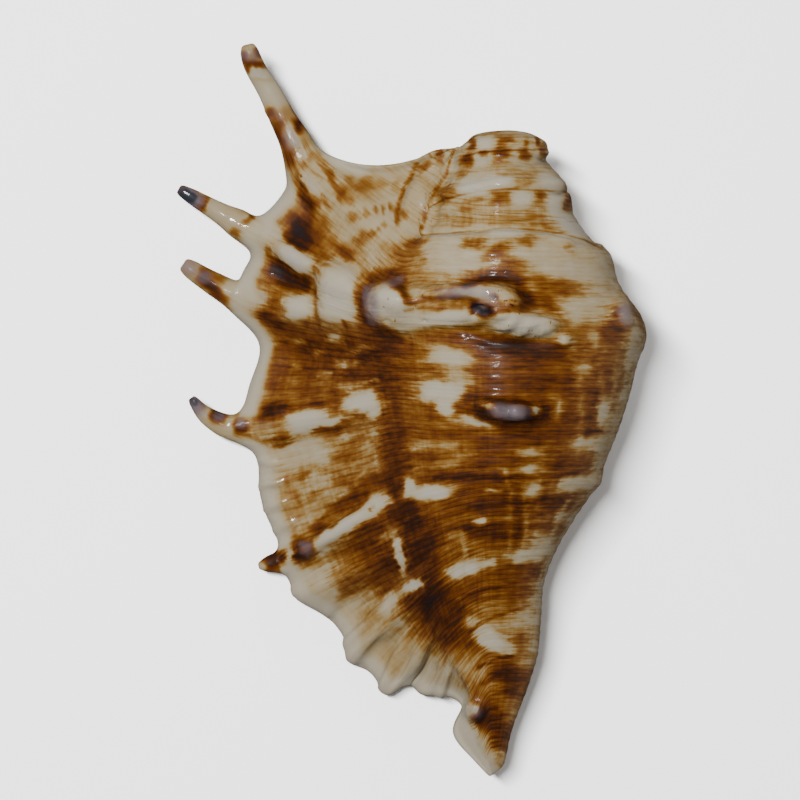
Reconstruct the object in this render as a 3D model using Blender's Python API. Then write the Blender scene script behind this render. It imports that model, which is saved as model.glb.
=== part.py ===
"""Spider conch shell, lying on its aperture with the back up and the spire towards +Y.

The shell is one solid. A cage of quads is laid over it first: every line of the cage runs once
round the shell, from the lip's edge over the back, round the right side, across the underside
to the columella, into the aperture and out along the inside of the lip. The fingers are drawn
out of the lip's edge. The cage is subdivided, and then the whorls, knobs and flutes are raised.
Lengths are in millimetres until the last step, which scales the mesh to metres.
"""

import math

import bmesh
import bpy
from mathutils import Matrix, Vector

MM = 0.001
SUBDIVISIONS = 1
# The cage is moved outwards until the rounded surface passes through its points.
FITTING_ROUNDS = 4
FITTING_SHARE = 1.0

# Points across each part of a line of the cage.
LIP_POINTS = 4
BACK_POINTS = 5
UNDER_POINTS = 3
POCKET_POINTS = 4
INNER_LIP_POINTS = 3
AROUND = 6 + LIP_POINTS + BACK_POINTS + UNDER_POINTS + POCKET_POINTS + INNER_LIP_POINTS

# The outline was measured from above, by an eye this high over this point of the floor, as if
# all of it lay at one height. What lies lower is really a little further out.
EYE = (-2.7, 1.9)
EYE_HEIGHT = 600.0
MEASURED_AT = 20.0

# The lip's edge from the spire to the tip of the canal. Each line of the cage has its height on
# the body's right side, then the x and y of its end on the lip's edge.
EDGE = [
    (51.2, 5.7, 53.2),
    (45.0, -2.6, 50.7),
    (40.3, -11.2, 50.5),
    (35.6, -18.6, 52.8),
    (31.2, -22.3, 51.2),
    (27.5, -25.4, 47.6),
    (25.5, -26.4, 44.0),
    (23.6, -31.0, 39.3),
    (21.6, -33.0, 36.4),
    (19.5, -33.2, 32.9),
    (18.3, -33.3, 30.0),
    (16.6, -34.6, 27.8),
    (14.2, -34.9, 23.2),
    (11.7, -35.2, 18.7),
    (8.8, -30.9, 13.0),
    (5.6, -32.6, 6.2),
    (2.5, -34.1, 1.0),
    (-0.4, -34.3, -3.9),
    (-3.3, -33.0, -7.9),
    (-5.3, -31.1, -11.5),
    (-8.0, -30.9, -15.7),
    (-11.1, -29.6, -21.4),
    (-13.6, -27.3, -27.2),
    (-15.8, -27.5, -30.6),
    (-18.1, -25.6, -34.1),
    (-20.1, -24.2, -37.0),
    (-22.0, -22.7, -39.3),
    (-24.9, -17.5, -42.5),
    (-27.5, -13.6, -47.3),
    (-30.0, -13.1, -51.5),
    (-32.7, -8.4, -53.9),
    (-36.4, -5.6, -58.2),
    (-38.8, -2.8, -57.6),
    (-40.9, -0.3, -56.6),
    (-43.4, 1.9, -58.6),
    (-46.6, 6.3, -58.9),
    (-50.3, 9.4, -60.3),
    (-53.2, 9.8, -62.4),
    (-58.6, 8.3, -66.7),
    (-66.0, 11.9, -71.6),
    (-72.5, 15.0, -75.0),
]

# Each finger: the first of the two edge faces that it grows from, the lift of the rib behind it,
# and its centre line from root to tip as x, y, z and radius.
FINGERS = {
    "posterior": (3, 1.9, [
        (-24.2, 55.0, 8.8, 3.3),
        (-26.6, 59.4, 9.2, 2.7),
        (-29.6, 65.4, 10.4, 2.3),
        (-31.8, 69.0, 11.6, 2.1),
        (-33.3, 72.2, 13.0, 2.0),
        (-34.0, 74.7, 14.2, 1.5),
    ]),
    "second": (7, 1.7, [
        (-36.0, 38.2, 6.2, 3.0),
        (-38.7, 39.8, 6.6, 2.35),
        (-43.0, 42.3, 7.5, 1.8),
        (-47.6, 45.0, 8.8, 1.3),
    ]),
    "third": (11, 1.7, [
        (-37.6, 24.0, 5.4, 2.9),
        (-40.4, 25.5, 5.8, 2.5),
        (-43.6, 27.4, 6.4, 2.1),
        (-46.9, 29.6, 7.1, 1.7),
    ]),
    "fourth": (16, 2.0, [
        (-37.0, -3.6, 5.2, 2.8),
        (-39.6, -3.0, 5.6, 2.3),
        (-42.5, -1.3, 6.6, 1.8),
        (-44.3, 0.5, 7.6, 1.3),
        (-45.5, 2.1, 8.4, 0.9),
    ]),
    "fifth": (22, 1.8, [
        (-28.0, -31.5, 4.4, 2.2),
        (-29.9, -31.9, 4.4, 1.6),
        (-31.6, -32.3, 4.3, 0.8),
    ]),
}
RING_SWELL = 1.05

# Curves down the length of the body, keyed by height along the coiling axis (+Y to the spire).
RIGHT_EDGE = [
    (54.2, 27.4), (51.1, 27.8), (45.1, 32.0), (34.4, 37.5), (28.0, 41.1), (21.0, 44.7),
    (17.0, 46.6), (14.8, 47.3), (12.5, 47.0), (9.3, 46.2), (3.9, 44.9), (-8.5, 40.6), (-14.6, 38.0),
    (-17.7, 36.4), (-23.9, 32.3), (-30.2, 28.9), (-36.5, 26.8), (-42.7, 26.3), (-49.0, 25.9),
    (-55.4, 24.2), (-61.8, 22.1), (-68.0, 19.6), (-71.5, 18.9), (-74.0, 18.9),
]
CREST_X = [(54.0, 18.0), (18.0, 18.5), (-8.0, 18.0), (-27.0, 17.0), (-50.0, 16.5), (-72.5, 16.6)]
CREST_Z = [
    (54.0, 28.2), (45.0, 33.4), (35.6, 38.2), (25.5, 42.4), (18.0, 44.0), (8.8, 43.8), (-0.4, 42.4),
    (-8.0, 40.4), (-15.8, 37.4), (-22.0, 34.4), (-27.5, 31.4), (-36.4, 26.6), (-43.4, 23.2),
    (-50.3, 20.4), (-58.6, 17.8), (-66.0, 15.4), (-72.5, 13.2),
]
SIDE_Z = [
    (54.0, 20.0), (35.0, 21.0), (14.0, 21.0), (-8.0, 20.0), (-27.0, 17.0), (-50.0, 13.5),
    (-72.5, 10.6),
]
UNDER_Z = [
    (54.0, 12.6), (45.0, 7.4), (35.6, 3.0), (31.2, 1.4), (25.5, 0.1), (18.0, -0.4), (8.8, -0.5),
    (-0.4, -0.3), (-8.0, 0.5), (-15.8, 1.9), (-27.5, 4.0), (-36.4, 5.2), (-50.3, 6.2), (-72.5, 8.2),
]
# Where the lip leaves the back of the body: height on the right side, then x, y and z there.
LIP_ROOT = [
    (51.2, 8.1, 51.6, 22.0), (45.0, 5.2, 45.4, 24.4), (40.3, 3.0, 41.9, 26.0),
    (35.6, 1.7, 36.6, 28.4), (31.2, -1.5, 32.3, 30.4), (25.5, -5.7, 26.5, 31.4),
    (21.6, -7.6, 22.4, 31.4), (14.2, -6.9, 16.0, 31.2), (8.8, -5.7, 9.7, 31.0),
    (-0.4, -4.0, 0.8, 30.4), (-8.0, -2.6, -8.4, 29.4), (-15.8, -0.5, -19.7, 27.6),
    (-22.0, 1.1, -26.9, 26.0), (-27.5, 3.0, -34.1, 24.2), (-36.4, 5.7, -42.3, 21.2),
    (-43.4, 7.7, -49.5, 19.0), (-50.3, 11.0, -56.2, 16.9), (-53.2, 12.2, -59.8, 16.2),
    (-58.6, 13.0, -64.2, 14.9), (-66.0, 14.2, -69.8, 13.1), (-72.5, 15.9, -73.8, 11.8),
]
LIP_ROOT_WALL = [(51.2, 5.5), (35.6, 5.8), (-15.8, 5.6), (-43.4, 4.6), (-72.5, 2.6)]
EDGE_Z = [
    (51.2, 19.0), (45.0, 15.5), (40.3, 11.6), (35.6, 8.6), (27.5, 7.2), (21.6, 5.6), (14.2, 4.6),
    (8.8, 2.5), (6.2, 2.3), (2.5, 3.6), (-3.3, 4.2), (-8.0, 3.4), (-18.1, 3.2), (-24.9, 1.8),
    (-30.0, 1.6), (-36.4, 2.6), (-43.4, 4.0), (-50.3, 6.6), (-58.6, 8.2), (-72.5, 9.6),
]
EDGE_THICKNESS = [
    (51.2, 5.0), (35.6, 5.2), (14.2, 5.4), (-8.0, 5.2), (-24.9, 3.8), (-43.4, 3.2), (-72.5, 2.4),
]
# How far the underside turns from the right edge before it runs on flat, in quarter turns.
UNDER_TURN = 1.2
# The columella's edge on the underside, and the pocket of the aperture behind it.
COLUMELLA_X = [
    (51.2, 13.0), (35.6, 6.4), (20.0, 5.2), (-0.4, 5.8), (-15.8, 8.0), (-27.5, 10.2),
    (-43.4, 13.4), (-50.3, 14.8), (-58.6, 16.3), (-72.5, 17.2),
]
POCKET_DEPTH = [
    (47.0, 0.0), (40.0, 0.25), (30.0, 0.85), (22.0, 1.0), (-22.0, 1.0), (-36.4, 0.8),
    (-50.3, 0.4), (-60.0, 0.0),
]

# The blunt top of the spire: height, radius across and radius up of its rings.
SPIRE_X, SPIRE_Z = 18.6, 20.2
SPIRE_RINGS = [(54.2, 8.7, 8.2), (56.2, 6.2, 5.9), (57.1, 3.2, 3.0)]
APEX_Y = 57.4
CANAL_TIP = (16.4, -75.4, 10.4)

# Whorls of the spire: the height of each seam on the right side, from the body whorl upwards.
SEAMS = [(20.0, -1.0), (34.6, 0.0), (45.1, 1.0), (51.4, 2.0), (57.6, 3.0)]
WHORLS_FROM = 20.0
# How far the whorls stand out from a plain cone, keyed the same way.
WHORL_PROFILE = [
    (-1.0, 0.0), (-0.6, 0.1), (-0.42, 0.9), (-0.28, 1.5), (-0.12, 1.1), (-0.02, 0.1), (0.03, -0.3),
    (0.12, -0.75), (0.33, -1.35), (0.52, -1.6), (0.64, -1.25), (0.8, -0.5), (0.96, -0.1),
    (1.0, -0.35), (1.08, 0.3), (1.34, 0.35), (1.66, 0.0), (1.92, -0.3), (2.0, -0.6), (2.1, 0.1),
    (2.5, 0.4), (3.0, 0.0),
]

# Knobs on the back: x, y, length along x, length along y, turn in degrees and height.
KNOBS = [
    (-4.6, 20.4, 5.4, 4.6, 0, 3.6),
    (5.6, 21.6, 8.6, 2.8, -4, 2.9),
    (16.4, 20.9, 6.0, 4.0, -10, 4.0),
    (23.4, 16.4, 6.0, 2.2, -12, 1.4),
    (18.8, -0.6, 6.2, 2.5, -4, 2.5),
    (43.0, 17.4, 4.4, 4.4, 0, 1.8),
    (1.6, 45.5, 7.5, 2.2, 63, 1.3),
    (5.0, 43.5, 8.5, 1.1, 66, -1.1),
    (30.0, 13.6, 1.5, 1.4, 0, 0.6),
    (13.6, -23.0, 1.1, 1.1, 0, 0.4),
    (38.0, -14.8, 3.0, 2.0, 0, 0.7),
    (-16.0, 24.8, 4.8, 5.8, 20, 1.5),
    (13.0, -62.4, 1.8, 2.2, 0, 0.8),
]
KNOB_BLUNTNESS = 1.35
# Nodes on the shoulder below, on the older part of the whorl: x, y, z, radius and height.
SHOULDER_NODES = [(45.5, 15.0, 14.0, 4.0, 1.6), (37.0, 14.0, 4.5, 3.8, 1.3), (27.0, 16.0, 0.5, 3.4, 0.9)]
# Flutes of the lip's lower edge: the line of the cage on each crest, and how high it stands.
FLUTES = [(26, 1.1), (29, 1.3), (31, 1.4), (34, 1.1)]
HOLLOWS = [(27, -0.8), (30, -0.7), (33, -1.1)]


def curve(keys, at):
    """The value at a key, or the tuple of values, on a smooth curve through the keyed points."""
    points = sorted(keys)
    at = min(max(at, points[0][0]), points[-1][0])
    i = max(k for k in range(len(points) - 1) if points[k][0] <= at)
    a, b = points[i], points[i + 1]
    before, after = points[max(i - 1, 0)], points[min(i + 2, len(points) - 1)]
    span = b[0] - a[0]
    t = (at - a[0]) / span
    values = []
    for k in range(1, len(a)):
        rise = (b[k] - a[k]) / span
        back = (a[k] - before[k]) / (a[0] - before[0]) if before is not a else rise
        on = (after[k] - b[k]) / (after[0] - b[0]) if after is not b else rise
        leave = 2 * rise * back / (rise + back) if rise * back > 0 else 0.0
        arrive = 2 * rise * on / (rise + on) if rise * on > 0 else 0.0
        values.append(
            a[k] * (1 + 2 * t) * (1 - t) ** 2 + b[k] * t * t * (3 - 2 * t)
            + span * (leave * t * (1 - t) ** 2 - arrive * t * t * (1 - t))
        )
    return values[0] if len(values) == 1 else tuple(values)


def shares(count):
    """The shares of the way at count points spaced evenly between two ends."""
    return [(k + 1) / (count + 1) for k in range(count)]


def rib_lift(line):
    """How far the back of the lip is lifted on this line, behind a finger or on a flute."""
    lifts = {first + 1: lift for first, lift, _ in FINGERS.values()}
    lifts.update(dict(FLUTES))
    lifts.update(dict(HOLLOWS))
    return lifts.get(line, 0.0)


def seen_at(x, y, z):
    """The point at height z that the eye above sees at x and y of the measured outline."""
    spread = (EYE_HEIGHT - z) / (EYE_HEIGHT - MEASURED_AT)
    return Vector((EYE[0] + (x - EYE[0]) * spread, EYE[1] + (y - EYE[1]) * spread, z))


def line_points(line):
    """The points of one line of the cage, round the shell from the top of the lip's edge."""
    height, edge_x, edge_y = EDGE[line]
    root = Vector(curve(LIP_ROOT, height))
    edge_z, thick = curve(EDGE_Z, height), curve(EDGE_THICKNESS, height)
    edge = seen_at(edge_x, edge_y, edge_z + thick / 2)
    crest = Vector((curve(CREST_X, height), height, curve(CREST_Z, height)))
    right = seen_at(curve(RIGHT_EDGE, height), height, curve(SIDE_Z, height))
    under_z = curve(UNDER_Z, height)
    columella = Vector((curve(COLUMELLA_X, height), height, under_z + 1.2))
    wall, depth = curve(LIP_ROOT_WALL, height), curve(POCKET_DEPTH, height)
    lift = rib_lift(line)

    def lip(share):
        """A point on the back of the lip, share of the way from its edge to its root."""
        point = edge.lerp(root, share)
        point.z = edge.z + (root.z - edge.z) * (0.5 * share + 0.5 * share * share)
        point.z += lift * math.sin(math.pi * min(1.0, 0.25 + 0.75 * share))
        return point

    def inner(share):
        """The point under it, on the inside of the lip."""
        return lip(share) - Vector((0, 0, thick + (wall - thick) * share))

    points = [lip(0)]
    points += [lip(s) for s in shares(LIP_POINTS)]
    points.append(root)
    for s in shares(BACK_POINTS):
        turn = s * 1.55
        if turn < 1:
            point = root.lerp(crest, turn)
            point.z = root.z + (crest.z - root.z) * (1 - (1 - turn) ** 1.8)
            point.y = root.y + (crest.y - root.y) * math.sin(turn * math.pi / 2)
        else:
            angle = (turn - 1) / 0.55 * math.pi / 2
            point = Vector((
                crest.x + (right.x - crest.x) * math.sin(angle),
                height,
                right.z + (crest.z - right.z) * math.cos(angle),
            ))
        points.append(point)
    points.append(right)
    for s in shares(UNDER_POINTS):
        angle = min(s * UNDER_TURN, 1.0) * math.pi / 2
        past = max(0.0, s * UNDER_TURN - 1.0) / (UNDER_TURN - 1.0)
        middle = (columella.x + right.x) / 2
        bend = middle + (right.x - middle) * math.cos(angle)
        points.append(Vector((
            bend + (columella.x - bend) * past / 2,
            height,
            right.z + (under_z - right.z) * math.sin(angle),
        )))
    points.append(columella)
    throat = inner(1.0)
    throat.y = root.y
    core = 0.42 * (crest.x - columella.x)
    ceiling = crest.z - 5.0
    room = ceiling - columella.z
    open_pocket = [
        Vector((columella.x + 0.5 * core, height, columella.z + 0.32 * room)),
        Vector((columella.x + 1.5 * core, height, columella.z + 0.78 * room)),
        Vector((columella.x + 0.75 * core, height, ceiling - 0.8)),
        Vector((throat.x * 0.55 + columella.x * 0.45, height, throat.z * 0.38 + ceiling * 0.62)),
    ]
    corner = columella.lerp(throat, 0.7)
    corner.z = columella.z + 0.2 * (throat.z - columella.z)
    for s, deep in zip(shares(POCKET_POINTS), open_pocket):
        flat = columella.lerp(corner, s).lerp(corner.lerp(throat, s), s)
        point = flat.lerp(deep, depth)
        point.y = height + (root.y - height) * s
        points.append(point)
    points.append(throat)
    points += [inner(1 - s) for s in shares(INNER_LIP_POINTS)]
    points.append(inner(0))
    return points


def ring_points(height, across, up):
    """A plain ring of the spire's top, its points in the order of line_points."""
    angles = [176, 173, 170, 167, 164, 160, 138, 114, 90, 62, 32, 0, -30, -58, -88, -116]
    angles += [-127, -135, -143, -150, -157, -162, -166, -170, -174]
    return [
        Vector((
            SPIRE_X + across * math.cos(math.radians(a)),
            height,
            SPIRE_Z + up * math.sin(math.radians(a)),
        ))
        for a in angles
    ]


def cage():
    """The cage as a bmesh, closed at both ends, with the fingers drawn out of the lip's edge."""
    lines = [ring_points(*ring) for ring in reversed(SPIRE_RINGS)]
    lines += [line_points(k) for k in range(len(EDGE))]
    first_edge = len(SPIRE_RINGS)
    bm = bmesh.new()
    row_of = bm.verts.layers.int.new("row")
    side_of = bm.verts.layers.int.new("side")
    bmesh.ops.create_grid(bm, x_segments=AROUND, y_segments=len(lines) - 1, size=1)
    grid = {}
    for vert in bm.verts:
        around = round((vert.co.x + 1) / 2 * AROUND)
        row = round((vert.co.y + 1) / 2 * (len(lines) - 1))
        vert[row_of] = row
        vert[side_of] = around
        grid[vert] = lines[row][around % AROUND]
    for vert, place in grid.items():
        vert.co = place
    bmesh.ops.remove_doubles(bm, verts=bm.verts, dist=1e-5)
    close_end(bm, 0, row_of, Vector((SPIRE_X, APEX_Y, SPIRE_Z)))
    close_end(bm, len(lines) - 1, row_of, seen_at(*CANAL_TIP))
    for first, _, centre_line in FINGERS.values():
        draw_finger(bm, first_edge + first, centre_line, row_of, side_of)
    bmesh.ops.recalc_face_normals(bm, faces=bm.faces)
    if bm.calc_volume(signed=True) < 0:
        bmesh.ops.reverse_faces(bm, faces=bm.faces)
    return bm


def close_end(bm, row, row_of, tip):
    """Closes an open end of the cage with a fan of faces about its tip."""
    rim = [e for e in bm.edges if e.is_boundary and all(v[row_of] == row for v in e.verts)]
    face = bmesh.ops.contextual_create(bm, geom=rim)["faces"][0]
    middle = bmesh.ops.poke(bm, faces=[face])["verts"][0]
    middle.co = tip
    middle[row_of] = row


def draw_finger(bm, row, centre_line, row_of, side_of):
    """Extrudes the two edge faces that start at this row along a finger's centre line."""
    rows = (row, row + 1, row + 2)
    edge_sides = (0, AROUND, AROUND - 1)
    faces = [
        f for f in bm.faces
        if all(v[row_of] in rows and v[side_of] in edge_sides for v in f.verts)
    ]
    path = [seen_at(*p[:3]) for p in centre_line]
    for k, place in enumerate(centre_line):
        made = bmesh.ops.extrude_face_region(bm, geom=faces)["geom"]
        bmesh.ops.delete(bm, geom=faces, context="FACES_ONLY")
        faces = [g for g in made if isinstance(g, bmesh.types.BMFace)]
        before, after = path[max(k - 1, 0)], path[min(k + 1, len(path) - 1)]
        along = (after - before).normalized()
        side = along.cross(Vector((0, 0, 1))).normalized()
        up = side.cross(along).normalized()
        radius = place[3] * RING_SWELL
        for vert in {v for f in faces for v in f.verts}:
            across = vert[row_of] - (row + 1)
            top = 1 if vert[side_of] in (0, AROUND) else -1
            angle = math.radians(90 + 60 * across) * top
            lean = side * math.cos(angle) + up * math.sin(angle)
            vert.co = path[k] + lean * radius


def whorl_relief(point):
    """How far the surface of the spire stands out from its plain cone here."""
    turn = math.atan2(point.z - SPIRE_Z, point.x - SPIRE_X)
    drop = smooth_step(36.0, 43.0, point.y) if turn > 0 else 1.0
    whorl = curve(SEAMS, point.y) + turn / (2 * math.pi) * drop
    reach = math.hypot(point.z - SPIRE_Z, point.x - SPIRE_X)
    return curve(WHORL_PROFILE, whorl) * min(1.0, reach / 9.0)


def knob_relief(point, normal):
    """How far the knobs raise the surface here."""
    height = 0.0
    if normal.z > -0.2 and point.z > 12:
        for x, y, long, wide, turn, rise in KNOBS:
            away = Matrix.Rotation(-math.radians(turn), 2) @ Vector((point.x - x, point.y - y))
            reach = (away.x / long) ** 2 + (away.y / wide) ** 2
            height += rise * math.exp(-reach ** KNOB_BLUNTNESS)
    for x, y, z, radius, rise in SHOULDER_NODES:
        away = (point - Vector((x, y, z))).length / radius
        height += rise * math.exp(-away * away)
    return height


def smooth_step(low, high, value):
    """0 below low, 1 above high, and a smooth rise between."""
    t = min(max((value - low) / (high - low), 0.0), 1.0)
    return t * t * (3 - 2 * t)


def outer_share(point, normal):
    """1 on the outside of the spire and body, falling to 0 on the lip and inside the aperture."""
    outward = Vector((point.x - SPIRE_X, 0, point.z - SPIRE_Z)).normalized()
    return smooth_step(0.1, 0.5, normal.dot(outward)) * smooth_step(-4.0, 6.0, point.x)


def raised(mesh):
    """Raises the whorls and knobs on the subdivided mesh, and wears its underside flat."""
    moves = []
    for vert in mesh.vertices:
        point, normal = vert.co.copy(), vert.normal.copy()
        step = knob_relief(point, normal)
        if point.y > WHORLS_FROM:
            step += whorl_relief(point) * outer_share(point, normal)
        moves.append(point + normal * step)
    for vert, place in zip(mesh.vertices, moves):
        place.z = max(place.z, 0.0)
        vert.co = place


def rounded_mesh(guide):
    """The mesh that the guide's subdivision makes; its first points are those of the cage."""
    guide.data.update()
    bpy.context.view_layer.update()
    return bpy.data.meshes.new_from_object(guide.evaluated_get(bpy.context.evaluated_depsgraph_get()))


def shell_material():
    """The shell's porcelain finish, in its middle brown."""
    material = bpy.data.materials.new("shell")
    material.use_nodes = True
    finish = material.node_tree.nodes["Principled BSDF"]
    finish.inputs["Base Color"].default_value = (0.52, 0.34, 0.18, 1)
    finish.inputs["Roughness"].default_value = 0.3
    finish.inputs["Metallic"].default_value = 0.0
    return material


def main():
    for old in list(bpy.data.objects):
        bpy.data.objects.remove(old)
    bm = cage()
    mesh = bpy.data.meshes.new("cage")
    bm.to_mesh(mesh)
    bm.free()
    guide = bpy.data.objects.new("guide", mesh)
    bpy.context.scene.collection.objects.link(guide)
    smooth = guide.modifiers.new("Subdivision", "SUBSURF")
    smooth.levels = smooth.render_levels = SUBDIVISIONS
    wanted = [v.co.copy() for v in mesh.vertices]
    for _ in range(FITTING_ROUNDS):
        rounded = rounded_mesh(guide)
        for vert, place, drawn in zip(mesh.vertices, wanted, rounded.vertices):
            vert.co += (place - drawn.co) * FITTING_SHARE
        bpy.data.meshes.remove(rounded)
    surface = rounded_mesh(guide)
    surface.name = "shell"
    bpy.data.objects.remove(guide)
    raised(surface)

    corners = [Vector(v.co) for v in surface.vertices]
    low = Vector([min(c[k] for c in corners) for k in range(3)])
    high = Vector([max(c[k] for c in corners) for k in range(3)])
    foot = Vector(((low.x + high.x) / 2, (low.y + high.y) / 2, low.z))
    surface.transform(Matrix.Scale(MM, 4) @ Matrix.Translation(-foot))
    surface.shade_smooth()
    surface.materials.clear()
    surface.materials.append(shell_material())
    shell = bpy.data.objects.new("shell", surface)
    bpy.context.scene.collection.objects.link(shell)
    print("shell: size in mm", [round(x, 1) for x in high - low], "faces", len(surface.polygons))
    print("moved by", [round(-x, 2) for x in foot])


main()
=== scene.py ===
# %% [markdown]
# # A spider conch shell
# The shell lies on its aperture with its back up, the spire away from us and the canal near.
# It grew as one wall, so it is modelled as one piece: a coarse cage of quads is laid round it,
# rounded by subdivision, carved with knobs and cords, and painted by fields that say how much
# brown the animal laid down at each point, with a few marks of painted light and shade among them.

# %% Setting up
import math

import bmesh
import bpy
import numpy as np
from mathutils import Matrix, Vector, noise


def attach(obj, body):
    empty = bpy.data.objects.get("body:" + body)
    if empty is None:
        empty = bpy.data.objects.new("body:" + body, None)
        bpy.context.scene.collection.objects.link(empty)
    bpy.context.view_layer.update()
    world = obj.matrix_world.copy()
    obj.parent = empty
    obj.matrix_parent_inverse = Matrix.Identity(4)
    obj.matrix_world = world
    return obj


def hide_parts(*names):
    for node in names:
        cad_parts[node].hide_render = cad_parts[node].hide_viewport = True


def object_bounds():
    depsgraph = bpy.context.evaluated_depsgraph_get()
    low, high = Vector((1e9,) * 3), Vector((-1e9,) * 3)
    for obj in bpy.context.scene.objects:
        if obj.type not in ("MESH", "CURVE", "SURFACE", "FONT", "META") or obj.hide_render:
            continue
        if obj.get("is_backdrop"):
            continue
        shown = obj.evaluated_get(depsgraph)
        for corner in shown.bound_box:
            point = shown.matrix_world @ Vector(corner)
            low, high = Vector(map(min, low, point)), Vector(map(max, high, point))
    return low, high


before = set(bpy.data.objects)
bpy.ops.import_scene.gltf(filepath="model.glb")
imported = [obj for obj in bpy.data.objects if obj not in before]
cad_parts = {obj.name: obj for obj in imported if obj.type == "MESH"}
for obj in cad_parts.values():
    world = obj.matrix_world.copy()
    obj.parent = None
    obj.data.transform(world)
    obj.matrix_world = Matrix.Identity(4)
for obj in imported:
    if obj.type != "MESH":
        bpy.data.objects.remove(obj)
CAD_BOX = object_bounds()
MM = 0.001
print("solid:", [round(x / MM, 1) for x in CAD_BOX[1] - CAD_BOX[0]], "mm")

# %% [markdown]
# ## Camera
# The shell was seen from straight above. Every place on its back is named below by where it is
# seen from there, in pixels of an 800 pixel wide picture, so the camera comes first.

# %% Camera
PICTURE_SIDE = 800
CAMERA_PLACE = Vector((-0.00179, 0.0022, 0.6))
SENSOR = 36.0
FOCAL_PIXELS = 2816.0
camera = bpy.data.objects.new("camera", bpy.data.cameras.new("camera"))
camera.location = CAMERA_PLACE
camera.data.sensor_width = SENSOR
camera.data.lens = FOCAL_PIXELS * SENSOR / PICTURE_SIDE
camera.data.clip_start = 0.05
bpy.context.scene.collection.objects.link(camera)
bpy.context.scene.camera = camera
print("lens:", round(camera.data.lens, 1), "mm")


def seen(points):
    """Where the camera sees points given in metres, in pixels from the picture's top left."""
    away = CAMERA_PLACE.z - points[:, 2]
    across = PICTURE_SIDE / 2 + (points[:, 0] - CAMERA_PLACE.x) * FOCAL_PIXELS / away
    down = PICTURE_SIDE / 2 - (points[:, 1] - CAMERA_PLACE.y) * FOCAL_PIXELS / away
    return np.stack([across, down], axis=1)


# %% [markdown]
# ## Floor
# The shell lies on plain pale paper. A matt material is enough for that. The paper is kept out of
# the glaze, because a real glaze in a dark room doesn't mirror a bright floor, and would look grey
# if it did.

# %% Floor
FLOOR_SIDE = 3.0
PAPER = (0.93, 0.93, 0.93, 1)
PAPER_ROUGHNESS = 0.9
bpy.ops.mesh.primitive_plane_add(size=FLOOR_SIDE, location=(0, 0, 0))
floor = bpy.context.object
floor.name = "floor"
paper = bpy.data.materials.new("paper")
paper.use_nodes = True
paper.node_tree.nodes["Principled BSDF"].inputs["Base Color"].default_value = PAPER
paper.node_tree.nodes["Principled BSDF"].inputs["Roughness"].default_value = PAPER_ROUGHNESS
floor.data.materials.append(paper)
floor.visible_glossy = False
floor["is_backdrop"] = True
print("floor:", FLOOR_SIDE, "m square")

# %% [markdown]
# ## Light
# One narrow lamp hangs above, to the upper left, and its mirror image makes the row of glints on
# the cords. A broad lamp from beyond the spire and a weak one from the right fill the shadows, and
# a dim sky does the rest. An area lamp is used for each, because its size sets how soft a shadow
# is and how wide a glint. Only the key lamp shows in the glaze.

# %% Light
# Place, width, depth, power in watts, and whether the glaze mirrors the lamp.
LAMPS = {
    "key": ((-0.20, 0.14, 0.80), 0.08, 0.30, 21.0, True),
    "fill": ((0.05, 1.3, 0.5), 0.9, 0.9, 9.0, False),
    "side fill": ((1.0, -0.4, 0.5), 0.6, 0.6, 4.0, False),
}
LAMPS_AIM = Vector((0, 0, 0.02))
SKY_COLOUR = (1.0, 1.0, 1.0, 1)
SKY_STRENGTH = 0.16
for name, (place, width, depth, power, mirrored) in LAMPS.items():
    light = bpy.data.lights.new(name, "AREA")
    light.shape = "RECTANGLE"
    light.size = width
    light.size_y = depth
    light.energy = power
    lamp = bpy.data.objects.new(name, light)
    lamp.location = place
    lamp.rotation_euler = (LAMPS_AIM - lamp.location).to_track_quat("-Z", "Y").to_euler()
    lamp.visible_glossy = mirrored
    bpy.context.scene.collection.objects.link(lamp)
sky = bpy.data.worlds.new("studio")
sky.use_nodes = True
sky.node_tree.nodes["Background"].inputs["Color"].default_value = SKY_COLOUR
sky.node_tree.nodes["Background"].inputs["Strength"].default_value = SKY_STRENGTH
bpy.context.scene.world = sky
sky.cycles_visibility.glossy = False
print("lamps:", ", ".join(LAMPS))

# %% [markdown]
# ## The cage
# Every line of the cage runs once round the shell: from the lip's edge over its back to the root,
# over the body, round the right side, along the underside to the columella, into the aperture and
# out along the inside of the lip. The same curves made the solid, so the two have one shape.
#
# All its dimensions are in millimetres. A line of the cage is named by the y at which it crosses the
# body's right edge, and the tables give their values against that. The outline was measured by an
# eye straight above, which sees a high point further out than it is, so the measured places are
# drawn in towards the eye by their height.

# %% Points of a line
LIP_POINTS = 4
BACK_POINTS = 5
UNDER_POINTS = 3
POCKET_POINTS = 4
INNER_LIP_POINTS = 3
AROUND = 6 + LIP_POINTS + BACK_POINTS + UNDER_POINTS + POCKET_POINTS + INNER_LIP_POINTS
print("points of a line:", AROUND)

# %% The measured outline
# Where the eye stood, and the height at which its measures are true.
EYE = (-2.7, 1.9)
EYE_HEIGHT = 600.0
MEASURED_AT = 20.0
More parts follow.
